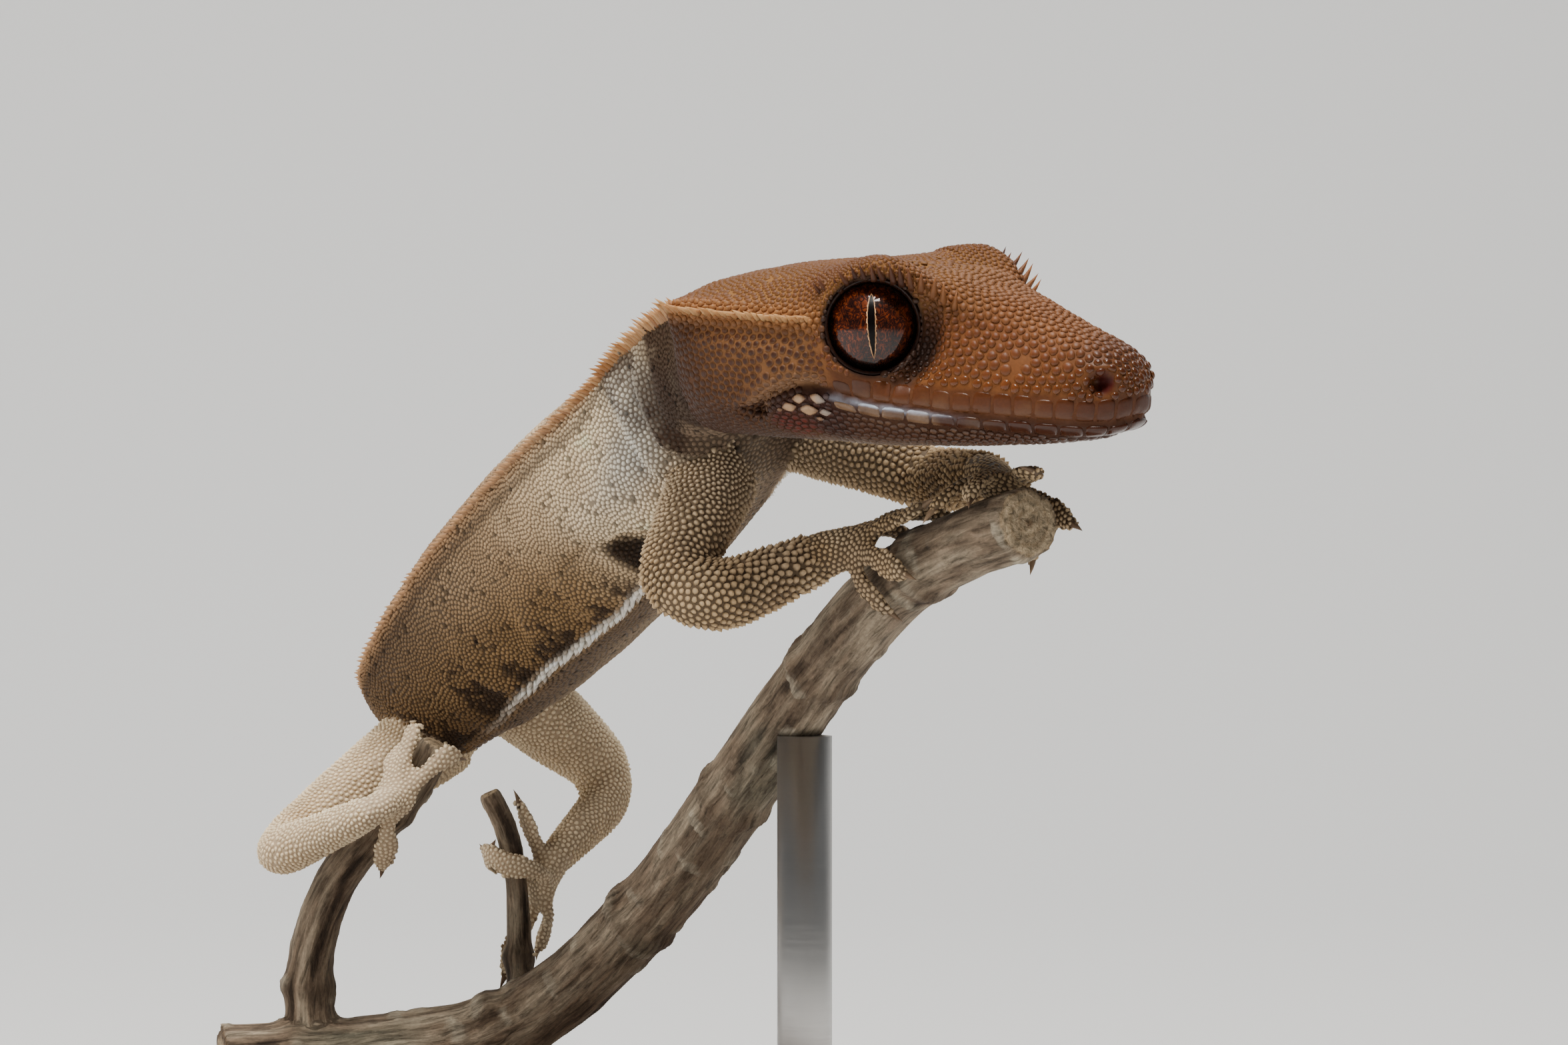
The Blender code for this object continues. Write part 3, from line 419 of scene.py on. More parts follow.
depth -= 0.48 * bump(far, 4.15, 0.70) * bump(turn, 62.0, 52.0) * on_head * (high > 0)
depth += 0.42 * bump(far, 5.55, 0.60) * bump(turn, 62.0, 46.0) * on_head * (high > -1.5)
depth -= 0.38 * bump(side, 9.3, 0.75) * bump(u, 4.3, 0.65) * on_head * ramp(-s, -12.6, -10.5)
depth += 0.34 * bump(u, 3.1, 0.65) * on_head * (side > 7.0) * ramp(-s, -11.6, -9.5) * ramp(s, 0.0, 2.0)
depth += 0.34 * bump(u - mouth, 0, 0.20) * on_head * ramp(s, 9.2, 10.6) * (side > 0.3)
cheek_edge = height_on(CHEEK_EDGE, s)
depth += 0.80 * bump(u - cheek_edge, -0.45, 0.50) * on_head * ramp(s, 5.0, 7.0) * ramp(-s, -13.2, -11.2)
depth -= 0.40 * bump(u - cheek_edge, 0.75, 0.75) * on_head * ramp(s, 4.0, 7.0) * ramp(-s, -13.0, -10.8)
depth -= 0.20 * bump(u - mouth, -0.75, 0.45) * on_head * ramp(s, 11.6, 13.0) * ramp(-s, -25.0, -19.0)
nostril = np.sqrt((s - NOSTRIL[0]) ** 2 + (u - NOSTRIL[1]) ** 2)
depth += 0.75 * ramp(-nostril, -0.72, -0.30) * on_head * (side > 1.8)
depth -= 0.22 * bump(nostril, 1.05, 0.35) * on_head * (side > 1.4) * ramp(u, 0.2, 1.2)
ear = np.sqrt(((s - 6.4) / 1.3) ** 2 + (u + 2.6) ** 2)
depth += 0.5 * ramp(-ear, -0.8, -0.3) * on_head * (side > 5.5)
t, x, y, *_ = trunk_place(skin_points)


def neck_waves(points, t, y):
    """The wavy folds across the neck, from -1 to 1."""
    return np.sin((t - 0.25 + 0.05 * y + 0.45 * cloudy(points, 5.0, 2, 3)) * 9.0)


neck_fold = neck_waves(skin_points, t, y)
depth += 0.34 * neck_fold * on_trunk * ramp(t, 0.1, 0.5) * ramp(-t, -2.2, -1.3) * ramp(-y, -2.5, 0.5)
flank_fold = np.sin((t * 4.2 + cloudy(skin_points, 6.0, 2, 5) * 4.0) * 2.2)
depth += 0.22 * flank_fold * on_trunk * ramp(t, 2.4, 3.2) * ramp(-t, -6.4, -5.6) * bump(y, -3.8, 3.0)


def pocket_of(points):
    """From 0 to 1, how deep a point lies in the three-cornered hollow behind the right upper arm."""
    across, rise = points[:, 0], points[:, 2]
    top = np.interp(across, (-5.2, -3.0, 0.8), (59.2, 60.15, 60.5)) - rise
    under = rise - np.interp(across, (-5.2, -2.5, 0.4), (59.2, 57.6, 56.2))
    inside = np.minimum(top, under)
    return ramp(inside, -0.10, 0.65) * ramp(across, -5.0, -3.2) * (points[:, 1] < -4.0)


depth += 2.1 * pocket_of(skin_points) * on_trunk
fold_at = run_through(FOLD, t)
roundness = np.maximum(0.0, 1 - (x / fold_at[:, 0]) ** 2) * ramp(fold_at[:, 1] + 1.0 - y, 0.0, 1.0)
depth -= 1.25 * roundness * on_trunk * ramp(t, 2.6, 3.8) * ramp(-t, -6.2, -5.2)
depth += (0.30 * bump(y + 2.3 - 0.5 * (t - 3.0), 0.0, 0.35) * on_trunk * ramp(t, 2.75, 2.95)
          * ramp(-t, -3.9, -3.1))
depth -= 0.35 * bump(y + 0.9, 0.0, 1.1) * on_trunk * bump(t, 2.4, 0.6) * (x > 0)
depth += 0.10 * (cloudy(skin_points, 2.4, 2, 9) - 0.5)
skin_points = skin_points - skin_normals * depth[:, None]
skin_points = relaxed(skin_points, skin_edges, 0.25)
skin_normals = with_points(even_mesh, skin_points)
skin_faces = np.empty(len(even_mesh.loops), int)
even_mesh.loops.foreach_get("vertex_index", skin_faces)
skin_faces = skin_faces.reshape(-1, 4)
skin_tree = BVHTree.FromPolygons(skin_points.tolist(), skin_faces.tolist())

# Markings. The same colours for skin and coat, from where a point lies on the animal: brown head
# with a paler net, grey-beige sides with dark netting low down and a white line along the fold,
# blue-grey throat and shoulder, cream arms, pale legs, and a banded brown tail. Shade is also painted
# into the colour round the eyes, in the nostrils, behind and under the jaw, at the mouth corner, on
# the neck, under the crest, behind the right arm and towards the rear, and the pale line at the mouth
# is partly a painted wet highlight.
TAIL_LINE = np.array(((-28.8, 74.0, -15.0), (-28.2, 81.0, -15.2), (-25.0, 88.5, -11.0),
                      (-19.0, 93.0, -4.5), (-11.5, 93.5, 2.0), (-4.0, 90.5, 9.0),
                      (4.5, 84.5, 15.0), (11.5, 76.5, 18.0), (16.5, 67.5, 17.0),
                      (19.5, 58.5, 14.5), (20.0, 51.0, 12.5))) + SHIFT
LIMBS = {
    "arm_right": np.array(((-4.8, 21.8, 3.4), (-9.2, 10.6, -7.2), (2.4, 17.2, -2.4))) + SHIFT,
    "arm_left": np.array(((-0.8, 30.2, 7.4), (10.6, 25.4, 3.0), (14.0, 14.4, 3.2))) + SHIFT,
    "leg_right": np.array(((-27.6, 64.8, -16.8), (-41.0, 53.8, -26.6), (-31.5, 46.2, -22.1))) + SHIFT,
    "leg_left": np.array(((-22.2, 67.4, -13.6), (-13.2, 71.6, -21.6), (-18.4, 63.4, -27.0))) + SHIFT,
}


def mixed(a, b, share):
    """A colour, or one for each point, moved towards b by a share at each point."""
    a = np.asarray(a)
    return a + (np.asarray(b) - a) * np.clip(share, 0, 1)[:, None]


def above_line(t, x, y):
    """Millimetres round the trunk from the white line that runs from the elbow to the hip."""
    aim = np.interp(t, (2.2, 3.0, 3.6, 4.2, 4.6, 5.0, 5.5, 6.2),
                    (-47, -44.5, -42.8, -39, -37.5, -38.2, -41, -45))
    return (np.arctan2(y, np.abs(x)) - np.radians(aim)) * np.hypot(x, y)


def markings(points, part):
    """Colour of a scale's middle, colour of its rim, and gloss, for points on the skin."""
    count = len(points)
    middle = np.empty((count, 3))
    rim = np.empty((count, 3))
    gloss = np.full(count, 0.35)
    large = cloudy(points, 7.0, 3, 1)
    small = cloudy(points, 1.9, 3, 2)
    fine = cloudy(points, 0.8, 2, 4)

    here = part == HEAD_PART
    s, r, u = head_place(points[here])
    side = np.abs(r)
    soft = small[here]
    dome = mixed((0.125, 0.034, 0.009), (0.190, 0.064, 0.018), large[here] * 1.1 - 0.15)
    net = mixed((0.21, 0.080, 0.026), (0.28, 0.130, 0.048), soft)
    temple = ramp(-s, -13.5, -11.0) * ramp(-u, -4.4, -3.4)
    dome = mixed(dome, (0.036, 0.012, 0.006), temple * (0.60 + 0.5 * soft))
    net = mixed(net, (0.23, 0.112, 0.045), temple)
    crown = ramp(u, 4.2, 5.4) * ramp(-s, -24.0, -19.0)
    dome = mixed(dome, (0.140, 0.056, 0.016), crown * (0.3 + 0.7 * soft))
    net = mixed(net, (0.26, 0.130, 0.040), crown)
    brow = bump(np.hypot(s - 15.4, u - 4.2), 4.9, 1.3) * (side > 4.5) * ramp(u, 3.0, 6.0)
    dome = mixed(dome, (0.110, 0.036, 0.011), brow * 0.85)
    net = mixed(net, (0.20, 0.085, 0.028), brow * 0.7)
    bridge = ramp(s, 16.0, 19.0) * ramp(u - np.interp(s, (18, 23, 27, 31), (5.2, 3.9, 2.6, 1.6)), 0.0, 1.2)
    dome = mixed(dome, (0.27, 0.115, 0.038), bridge * 0.75)
    snout = ramp(s, 17.0, 20.0)
    net = mixed(net, (0.155, 0.056, 0.018), snout * 0.5)
    tip = ramp(s, 26.5, 30.0)
    dome = mixed(dome, (0.068, 0.018, 0.007), tip * 0.85)
    net = mixed(net, (0.125, 0.052, 0.021), tip * 0.8)
    mouth = height_on(MOUTH_LINE, s)
    lips = ramp(s, 12.4, 13.4) * ramp(mouth + 1.75 - u, 0.0, 0.2) * ramp(u - mouth, -1.3, -1.0)
    net = mixed(net, (0.100, 0.037, 0.015), lips * 0.9)
    dome = mixed(dome, (0.100, 0.037, 0.015), lips * 0.9)
    low = ramp(mouth - u, -0.1, 0.3) * ramp(s, 9.5, 12.0)
    dome = mixed(dome, (0.062, 0.026, 0.014), low * 0.85)
    net = mixed(net, (0.040, 0.017, 0.010), low * 0.9)
    throat = ramp(-u, 3.1, 4.3) * ramp(-side, -7.5, -4.5)
    dome = mixed(dome, (0.22, 0.17, 0.125), throat * 0.85)
    net = mixed(net, (0.10, 0.070, 0.048), throat * 0.8)
    # painted shade: the nape below the skull's rear edge darkened, where the ridge casts its shadow
    painted_nape_shade = ramp(-s, -3.6, 0.0) * ramp(-u, -4.3, -2.4)
    dome = mixed(dome, (0.032, 0.014, 0.009), painted_nape_shade * 0.92)
    net = mixed(net, (0.080, 0.038, 0.021), painted_nape_shade * 0.90)
    # painted shade: the rear of the temple darkened towards the neck, where shade falls behind the head
    rear = ramp(-s - 1.4 * (soft - 0.5), -6.0, -1.2) * ramp(-u, -4.2, -2.8)
    dome = mixed(dome, (0.040, 0.016, 0.008), rear * 0.75)
    net = mixed(net, (0.085, 0.038, 0.018), rear * 0.80)
    # painted shade: the jowl below the temple darkened, as the shade under the head
    painted_jowl_shade = ramp(-u, -1.2, 3.0) * ramp(-s, -11.5, -7.5)
    dome = mixed(dome, (0.040, 0.017, 0.010), painted_jowl_shade * 0.8)
    net = mixed(net, (0.090, 0.044, 0.025), painted_jowl_shade * 0.8)
    ridge = bump(side - 9.2, 0, 1.0) * bump(u, 4.25, 0.75) * ramp(-s, -13.0, -11.5)
    dome = mixed(dome, (0.40, 0.195, 0.068), ridge)
    net = mixed(net, (0.30, 0.130, 0.045), ridge)
    edge_at = height_on(CHEEK_EDGE, s)
    rim_edge = bump(u - edge_at, 0.15, 0.45) * ramp(s, 6.2, 7.4) * ramp(-s, -13.0, -11.6)
    dome = mixed(dome, (0.25, 0.145, 0.075), rim_edge * 0.7)
    net = mixed(net, (0.28, 0.165, 0.088), rim_edge * 0.7)
    # painted shade: the pocket below the cheek edge at the corner of the mouth darkened, as the shade under
    # the overhanging cheek
    corner = ramp(edge_at - u, 0.0, 0.5) * ramp(s, 7.0, 8.6) * ramp(-s, -14.2, -12.4) * ramp(u, -4.2, -3.2)
    dome = mixed(dome, (0.050, 0.016, 0.009), corner * 0.9)
    net = mixed(net, (0.032, 0.012, 0.008), corner * 0.9)
    # a reddish dark spot below the cheek, partly the red of thin skin and partly painted shade
    ear_spot = np.hypot((s - 9.3) / 1.7, (u + 3.0) / 0.9)
    dome = mixed(dome, (0.15, 0.022, 0.011), ramp(-ear_spot, -1.3, -0.4) * 0.85)
    # a pale blue-grey line along the edge of the mouth, partly a pale lip and partly a painted wet highlight
    lip = bump(u - mouth, -0.28, 0.16) * ramp(s, 12.2, 13.2) * ramp(-s, -23.0, -17.5)
    dome = mixed(dome, (0.30, 0.33, 0.40), lip)
    net = mixed(net, (0.26, 0.29, 0.35), lip)
    low_plates = bump(u - mouth, -1.15, 0.5) * ramp(s, 13.5, 16.0) * ramp(-s, -24.0, -20.0)
    dome = mixed(dome, (0.185, 0.115, 0.068), low_plates * 0.55)
    # painted shade: the inside of the nostril darkened
    hole = np.hypot(s - NOSTRIL[0], u - NOSTRIL[1])
    dome = mixed(dome, (0.075, 0.012, 0.008), ramp(-hole, -0.85, -0.55) * (side > 1.6))
    net = mixed(net, (0.060, 0.010, 0.008), ramp(-hole, -0.9, -0.6) * (side > 1.6))
    far, high, turn, _ = eye_place(points[here])
    # painted shade: the socket round the eye darkened, deepest next to the eye and in its lower front hollow
    painted_socket_shade = np.maximum(ramp(-far, -3.55, -3.25), bump(turn, -25.0, 50.0) * ramp(-far, -5.0, -4.2))
    painted_socket_shade = painted_socket_shade * (high > 0)
    dome = mixed(dome, (0.030, 0.014, 0.009), painted_socket_shade * 0.93)
    net = mixed(net, (0.022, 0.011, 0.008), painted_socket_shade * 0.93)
    middle[here] = dome * (0.80 + 0.4 * fine[here])[:, None] * (0.80, 0.73, 0.70)
    rim[here] = net * (0.90, 0.84, 0.82)
    glint = bump(u - mouth, 1.9, 0.75) * ramp(s, 15.0, 18.0) + bump(hole, 1.2, 0.7)
    gloss[here] = (0.26 + 0.16 * snout * ramp(-u, -5.0, -3.0) + 0.55 * glint + 0.45 * lip
                   + 0.3 * low * ramp(s, 10, 13))

    here = part == TRUNK_PART
    t, x, y, *_ = trunk_place(points[here])
    soft = small[here]
    flat = large[here]
    fold = run_through(FOLD, t)
    crest = run_through(CREST, t)
    dome = mixed((0.92, 0.74, 0.49), (0.58, 0.40, 0.225), flat * 1.5 - 0.35)
    # darker towards the rear, partly the animal's own colour and partly painted shade where the light falls
    # off over the hips
    dome = mixed(dome, (0.36, 0.23, 0.122), ramp(t, 2.2, 4.0) * 0.78)
    dome = mixed(dome, (0.080, 0.046, 0.024), ramp(t, 3.4, 6.0) * 0.88)
    net = mixed((0.130, 0.092, 0.060), (0.055, 0.036, 0.024), ramp(t, 3.0, 5.0))
    level = (y - fold[:, 1]) / (crest[:, 1] - fold[:, 1])
    off = above_line(t, x, y)
    wander = cloudy(points[here], 3.2, 3, 12)
    bars = ramp(np.sin(t * 11.5 + wander * 7.0), -0.25, 0.65)
    blots = ramp(cloudy(points[here], 1.5, 3, 13), 0.40, 0.60)
    speck = cloudy(points[here], 0.45, 1, 15) - 0.5
    web = ramp(-np.abs(cloudy(points[here], 1.25, 2, 16) - 0.5), -0.085, -0.020)
    ochre = ramp(-off, -11.0, -3.5) * ramp(t, 2.5, 3.5)
    dome = mixed(dome, (0.23, 0.135, 0.054), ochre * (0.85 - 0.35 * ramp(t, 4.4, 6.0)))
    netting = ramp(0.60 * bars + 0.22 * blots + 0.36 * web - off / 9.0 + 0.7 * speck
                   + 0.30 * bump(off, 0.6, 1.4) + 0.22 * ramp(t, 3.6, 5.6), 0.42, 0.88)
    netting = netting * ramp(off, 0.25, 0.7) * ramp(t, 2.7, 3.3)
    dome = mixed(dome, (0.034, 0.020, 0.012), netting * 0.92)
    net = mixed(net, (0.030, 0.018, 0.011), ramp(-off, -8.0, -2.0) * ramp(t, 2.6, 3.4) * 0.8)
    neck = ramp(-t, -2.15, -1.2)
    pale = ramp(cloudy(points[here], 4.5, 2, 21), 0.44, 0.62)
    dome = mixed(dome, (0.50, 0.455, 0.375), neck * (0.3 + 0.5 * pale))
    # dark streaks along the grooves of the neck folds, partly a pattern and partly painted shade in the
    # creases
    streak_and_crease_shade = ramp(neck_waves(points[here], t, y), 0.25, 0.95)
    streak_and_crease_shade = streak_and_crease_shade * ramp(blots, 0.1, 0.9) * ramp(-y, -2.5, 0.5)
    dome = mixed(dome, (0.070, 0.046, 0.034), neck * streak_and_crease_shade * 0.85)
    crest_far = np.hypot(np.abs(x) - crest[:, 0], y - crest[:, 1])
    # painted shade, with some dark markings: the neck just behind the head darkened, and on the left side
    # near the crease where the neck bends
    shade = ramp(-t - 1.1 * (wander - 0.5) - 0.6 * (blots - 0.5), -1.50, -0.15)
    s = head_place(points[here])[0]
    shade = np.maximum(shade, ramp(s + 3.0 * (wander - 0.5), -9.5, -2.8) * ramp(-x, 0.0, 2.0))
    shade = shade * ramp(crest_far, 0.5, 1.4)
    dome = mixed(dome, (0.034, 0.015, 0.008), shade * 0.95)
    net = mixed(net, (0.060, 0.029, 0.016), shade * 0.95)
    gloss[here] = 0.35 * (1 - shade)
    # painted shade under the jaw
    painted_under_jaw_shade = ramp(-t, -1.30, -0.35) * ramp(-y, -1.0, 3.0)
    dome = mixed(dome, (0.048, 0.032, 0.024), painted_under_jaw_shade * 0.90)
    shoulder = bump(t, 1.75, 0.75) * bump(y, -1.2, 2.4)
    dome = mixed(dome, (0.54, 0.565, 0.55), shoulder * 0.65)
    ragged = 0.34 * (cloudy(points[here], 0.9, 2, 14) - 0.5)
    line = bump(off + ragged, 0.0, 0.52 - 0.04 * t) * ramp(t, 2.1, 2.6) * ramp(-t, -5.9, -4.5)
    dome = mixed(dome, (0.84, 0.81, 0.74), line * 1.25)
    net = mixed(net, (0.42, 0.38, 0.32), line)
    # the belly strip just below the white line, partly its grey-brown colour and partly painted shade under
    # the body
    belly = ramp(-off, 0.35, 1.3)
    dome = mixed(dome, (0.165, 0.115, 0.076), belly * 0.92)
    net = mixed(net, (0.070, 0.050, 0.036), belly * 0.8)
    creamy = belly * ramp(-off - 2.0 * (wander - 0.5), 2.0, 6.5)
    dome = mixed(dome, (0.33, 0.25, 0.165), creamy * (0.5 + 0.5 * soft))
    net = mixed(net, (0.13, 0.095, 0.062), creamy)
    back = ramp(level, 0.86, 1.0)
    dome = mixed(dome, (0.25, 0.155, 0.090), back * (0.35 + 0.6 * flat))
    cap = ramp(level, 0.90, 1.02) * ramp(-t - 1.2 * (wander - 0.5), -2.6, -0.5)
    dome = mixed(dome, (0.120, 0.040, 0.013), cap * 0.95)
    net = mixed(net, (0.190, 0.070, 0.024), cap * 0.95)
    # painted shadow: a dark line below the crest spines
    dome = mixed(dome, (0.080, 0.048, 0.028), bump(crest_far, 1.45, 0.45) * (level < 1.0) * 0.65)
    dome = mixed(dome, (0.34, 0.195, 0.095), bump(crest_far, 0, 0.7) * 0.85)
    # painted shade: the hollow behind the right upper arm darkened
    dome = mixed(dome, (0.022, 0.011, 0.007), pocket_of(points[here]) * 0.96)
    net = mixed(net, (0.016, 0.009, 0.006), pocket_of(points[here]) * 0.96)
    middle[here] = dome * (0.86 + 0.48 * fine[here])[:, None]
    rim[here] = mixed(net, dome * 0.45, np.full(here.sum(), 0.3))

    for number, name in enumerate(PART_NAMES):
        here = part == number
        if name[:3] not in ("arm", "leg", "han", "foo", "tai") or not here.any():
            continue
        soft = small[here]
        if name.startswith("tail"):
            t, _ = along_line(points[here], TAIL_LINE, 200)
            band = ramp(np.sin(t * 5.2 + 2.0 * cloudy(points[here], 5.0, 2, 41)), 0.1, 0.8)
            dome = mixed((0.30, 0.205, 0.13), (0.12, 0.075, 0.048), band * 0.75)
            dome = mixed(dome, (0.38, 0.30, 0.21), soft * 0.8 - 0.2)
            net = (0.075, 0.050, 0.036)
        elif name[:3] in ("arm", "han"):
            dome = mixed((0.42, 0.265, 0.125), (0.62, 0.455, 0.265), soft)
            dome = mixed(dome, (0.20, 0.13, 0.08), ramp(large[here], 0.56, 0.72) * 0.35)
            net = (0.055, 0.035, 0.021)
        else:
            dome = mixed((0.90, 0.77, 0.54), (0.77, 0.60, 0.38), large[here])
            net = (0.40, 0.29, 0.19)
        if name[:3] == "arm":
            near = bump(np.linalg.norm(points[here] - LIMBS[name][0], axis=1), 0, 8.5)
            dome = mixed(dome, (0.62, 0.49, 0.335), near * 0.9)
            net = mixed(net, (0.20, 0.145, 0.095), near)
        if name[:3] == "han" or name[:3] == "foo":
            dome = mixed(dome, (0.50, 0.40, 0.28), soft * 0.5)
        middle[here] = dome * (0.78 + 0.44 * fine[here])[:, None]
        rim[here] = net
    return np.minimum(middle, 0.93), rim, gloss


# Coat. Thousands of small scales cover the skin like pebbles, each a low closed dome that fills
# the room its neighbours leave: flat and many-sided on the head, round grains on the trunk, blunt
# cones on the arms and along the white line, and very fine on toes and tail.


def spacing_of(points, part):
    """How far apart the scales stand, in millimetres."""
    room = np.full(len(points), 0.47)
    here = part == HEAD_PART
    s, r, u = head_place(points[here])
    side = np.abs(r)
    want = np.full(here.sum(), 0.56)
    want = want + 0.20 * bump(s, 22.5, 4.0) * (side > 1.5) * (u > -1.6) * bump(u, 1.6, 2.6)
    want = want + 0.10 * ramp(s, 27.0, 29.0)
    want = want - 0.10 * ramp(u, 4.6, 5.6) * ramp(-s, -18, -12)
    far, high, *_ = eye_place(points[here])
    want = want - 0.16 * bump(far, 3.8, 1.1) * (high > 0)
    want = want + 0.05 * ramp(-u, 1.5, 3.0)
    room[here] = want
    here = part == TRUNK_PART
    t, x, y, *_ = trunk_place(points[here])
    fold = run_through(FOLD, t)
    crest = run_through(CREST, t)
    level = (y - fold[:, 1]) / (crest[:, 1] - fold[:, 1])
    off = above_line(t, x, y)
    want = np.full(here.sum(), 0.425)
    want = want + 0.12 * bump(off, 0.0, 0.6) * ramp(t, 2.0, 2.8) * ramp(-t, -6.2, -5.2)
    want = want + 0.16 * ramp(-off, 0.8, 2.5)
    want = want + 0.08 * ramp(level, 1.02, 1.10)
    room[here] = want
    for number, name in enumerate(PART_NAMES):
        here = part == number
        if name.startswith("arm"):
            room[here] = 0.58 - 0.19 * bump(np.linalg.norm(points[here] - LIMBS[name][0], axis=1), 0, 8.0)
        elif name.startswith("leg"):
            room[here] = 0.43
        elif name[:3] in ("han", "foo"):
            room[here] = 0.42
        elif name == "tail":
            t, _ = along_line(points[here], TAIL_LINE, 200)
            room[here] = 0.50 - 0.014 * t
    return room


def settled(points, room, rounds):
    """Pushes crowded points apart over the skin until they lie evenly, with their neighbours."""
    for turn in range(rounds + 1):
        tree = KDTree(len(points))
        for k, point in enumerate(points):
            tree.insert(point, k)
        tree.balance()
        near = np.array([[hit[1] for hit in tree.find_n(point, 13)] for point in points])[:, 1:]
        if turn == rounds:
            return points, near
        away = points[:, None, :] - points[near]
        far = np.maximum(np.linalg.norm(away, axis=2), 1e-6)
        reach = 0.5 * (room[:, None] + room[near]) * 1.10
        push = np.maximum(0.0, 1 - far / reach) * reach * 0.42
        moved = points + np.einsum("ij,ijk->ik", push / far, away)
        points = np.array([skin_tree.find_nearest(p)[0] for p in moved])


corners = skin_points[skin_faces]
face_middles = corners.mean(axis=1)
face_areas = 0.5 * np.linalg.norm(np.cross(corners[:, 2] - corners[:, 0],
                                           corners[:, 3] - corners[:, 1]), axis=1)
face_part = skin_part[skin_faces[:, 0]]
face_room = spacing_of(face_middles, face_part)
chance = face_areas / (0.866 * face_room**2)
draw = np.random.default_rng(5)
total = int(chance.sum())
picked = draw.choice(len(chance), total, p=chance / chance.sum())
across, down = draw.random((2, total, 1))
roots = (corners[picked, 0] * (1 - across) * (1 - down) + corners[picked, 1] * across * (1 - down)
         + corners[picked, 2] * across * down + corners[picked, 3] * (1 - across) * down)
roots, near = settled(roots, face_room[picked], 12)
hits = [skin_tree.find_nearest(p) for p in roots]
ups = np.array([hit[1] for hit in hits])
root_part = face_part[np.array([hit[2] for hit in hits])]
root_room = spacing_of(roots, root_part)
root_middle, root_rim, root_gloss = markings(roots, root_part)
s, r, u = head_place(roots)
side = np.abs(r)
t, x, y, ways, *_ = trunk_place(roots)
crest = run_through(CREST, t)
crest_far = np.hypot(np.abs(x) - crest[:, 0], y - crest[:, 1])
height = np.full(total, 0.14)
cone = np.full(total, 0.3)
lie = np.zeros((total, 3))
here = root_part == HEAD_PART
ridge = bump(side - 9.2, 0, 0.8) * bump(u, 4.25, 0.7) * ramp(-s, -13.0, -11.5)
height[here] = (0.12 + 0.05 * ramp(s, 17, 20) + 0.25 * ridge)[here]
cone[here] = (0.10 + 0.7 * ridge)[here]
here = root_part == TRUNK_PART
off = above_line(t, x, y)
white = bump(off, 0.0, 0.5) * ramp(t, 2.0, 2.6) * ramp(-t, -6.0, -4.8)
height[here] = (0.14 + 0.34 * white + 0.14 * bump(crest_far, 0, 0.8) - 0.05 * ramp(-off, 0.8, 2.5))[here]
cone[here] = (0.35 + 0.45 * white - 0.25 * ramp(-off, 0.8, 2.5))[here]
lie[here] = -ways[here]
dark = here & (draw.random(total) < 0.035) & (np.abs(off) > 0.9)
root_middle[dark] = root_middle[dark] * 0.30
for number, name in enumerate(PART_NAMES):
    here = root_part == number
    if name in LIMBS:
        root, bend, wrist = LIMBS[name]
        first = np.linalg.norm(roots[here] - (root + bend) / 2, axis=1)
        second = np.linalg.norm(roots[here] - (bend + wrist) / 2, axis=1)
        lie[here] = np.where((first < second)[:, None], unit(bend - root), unit(wrist - bend))
        height[here] = 0.27 if name.startswith("arm") else 0.17
        cone[here] = 0.72 if name.startswith("arm") else 0.55
    elif name == "tail":
        t_tail, _ = along_line(roots[here], TAIL_LINE, 200)
        lie[here] = unit(run_through(TAIL_LINE, t_tail + 0.1) - run_through(TAIL_LINE, t_tail - 0.1))
        height[here] = 0.12
        cone[here] = 0.5
    elif name[:3] in ("han", "foo"):
        height[here] = 0.09
mouth = height_on(MOUTH_LINE, s)
on_head = root_part == HEAD_PART
left_bare = on_head & (side > 0.6) & (s > 10.2) & (np.abs(u - mouth) < 0.30)
left_bare |= on_head & (s > 12.6) & (u > mouth - 1.05) & (u < mouth + 1.60)
left_bare |= on_head & (np.hypot(s - NOSTRIL[0], u - NOSTRIL[1]) < 0.72) & (side > 1.8)
far, high, *_ = eye_place(roots)
left_bare |= on_head & (far < 3.25) & (high > 0)

unwrap = np.zeros((total, 2))
angle = np.arctan2(r, u - 1.0) / (2 * math.pi) + 0.5
unwrap[on_head] = np.stack((angle, s / 33.0), 1)[on_head]
here = root_part == TRUNK_PART
unwrap[here] = np.stack((np.arctan2(x, y) / (2 * math.pi) + 0.5, t / 7.0), 1)[here]
for number, name in enumerate(PART_NAMES):
    here = root_part == number
    if name in LIMBS or name == "tail":
        line = LIMBS[name] if name in LIMBS else TAIL_LINE
        t_on, at = along_line(roots[here], line, 200)
        way = unit(run_through(line, t_on + 0.1) - run_through(line, t_on - 0.1))
        first = unit(np.cross(way, (0.2, 0.3, 1.0)))
        away = roots[here] - at
        turn = np.arctan2(dot(away, first), dot(away, np.cross(way, first))) / (2 * math.pi) + 0.5
        share = t_on / (len(line) - 1)
        lane = (number - 3 + turn) / 4 if name in LIMBS else turn
        unwrap[here] = np.stack((lane, share), 1)
    elif name[:3] in ("han", "foo"):
        away = roots[here] - roots[here].mean(0)
        plane = np.linalg.svd(away, full_matrices=False)[2]
        flat = away @ plane[:2].T
        flat = (flat - flat.min(0)) / (flat.max(0) - flat.min(0))
        over = (ups[here] @ plane[2] > 0) * 0.5
        unwrap[here] = np.stack(((number - 7 + flat[:, 0]) / 4, over + flat[:, 1] * 0.5), 1)
unwrap = 0.004 + 0.992 * unwrap


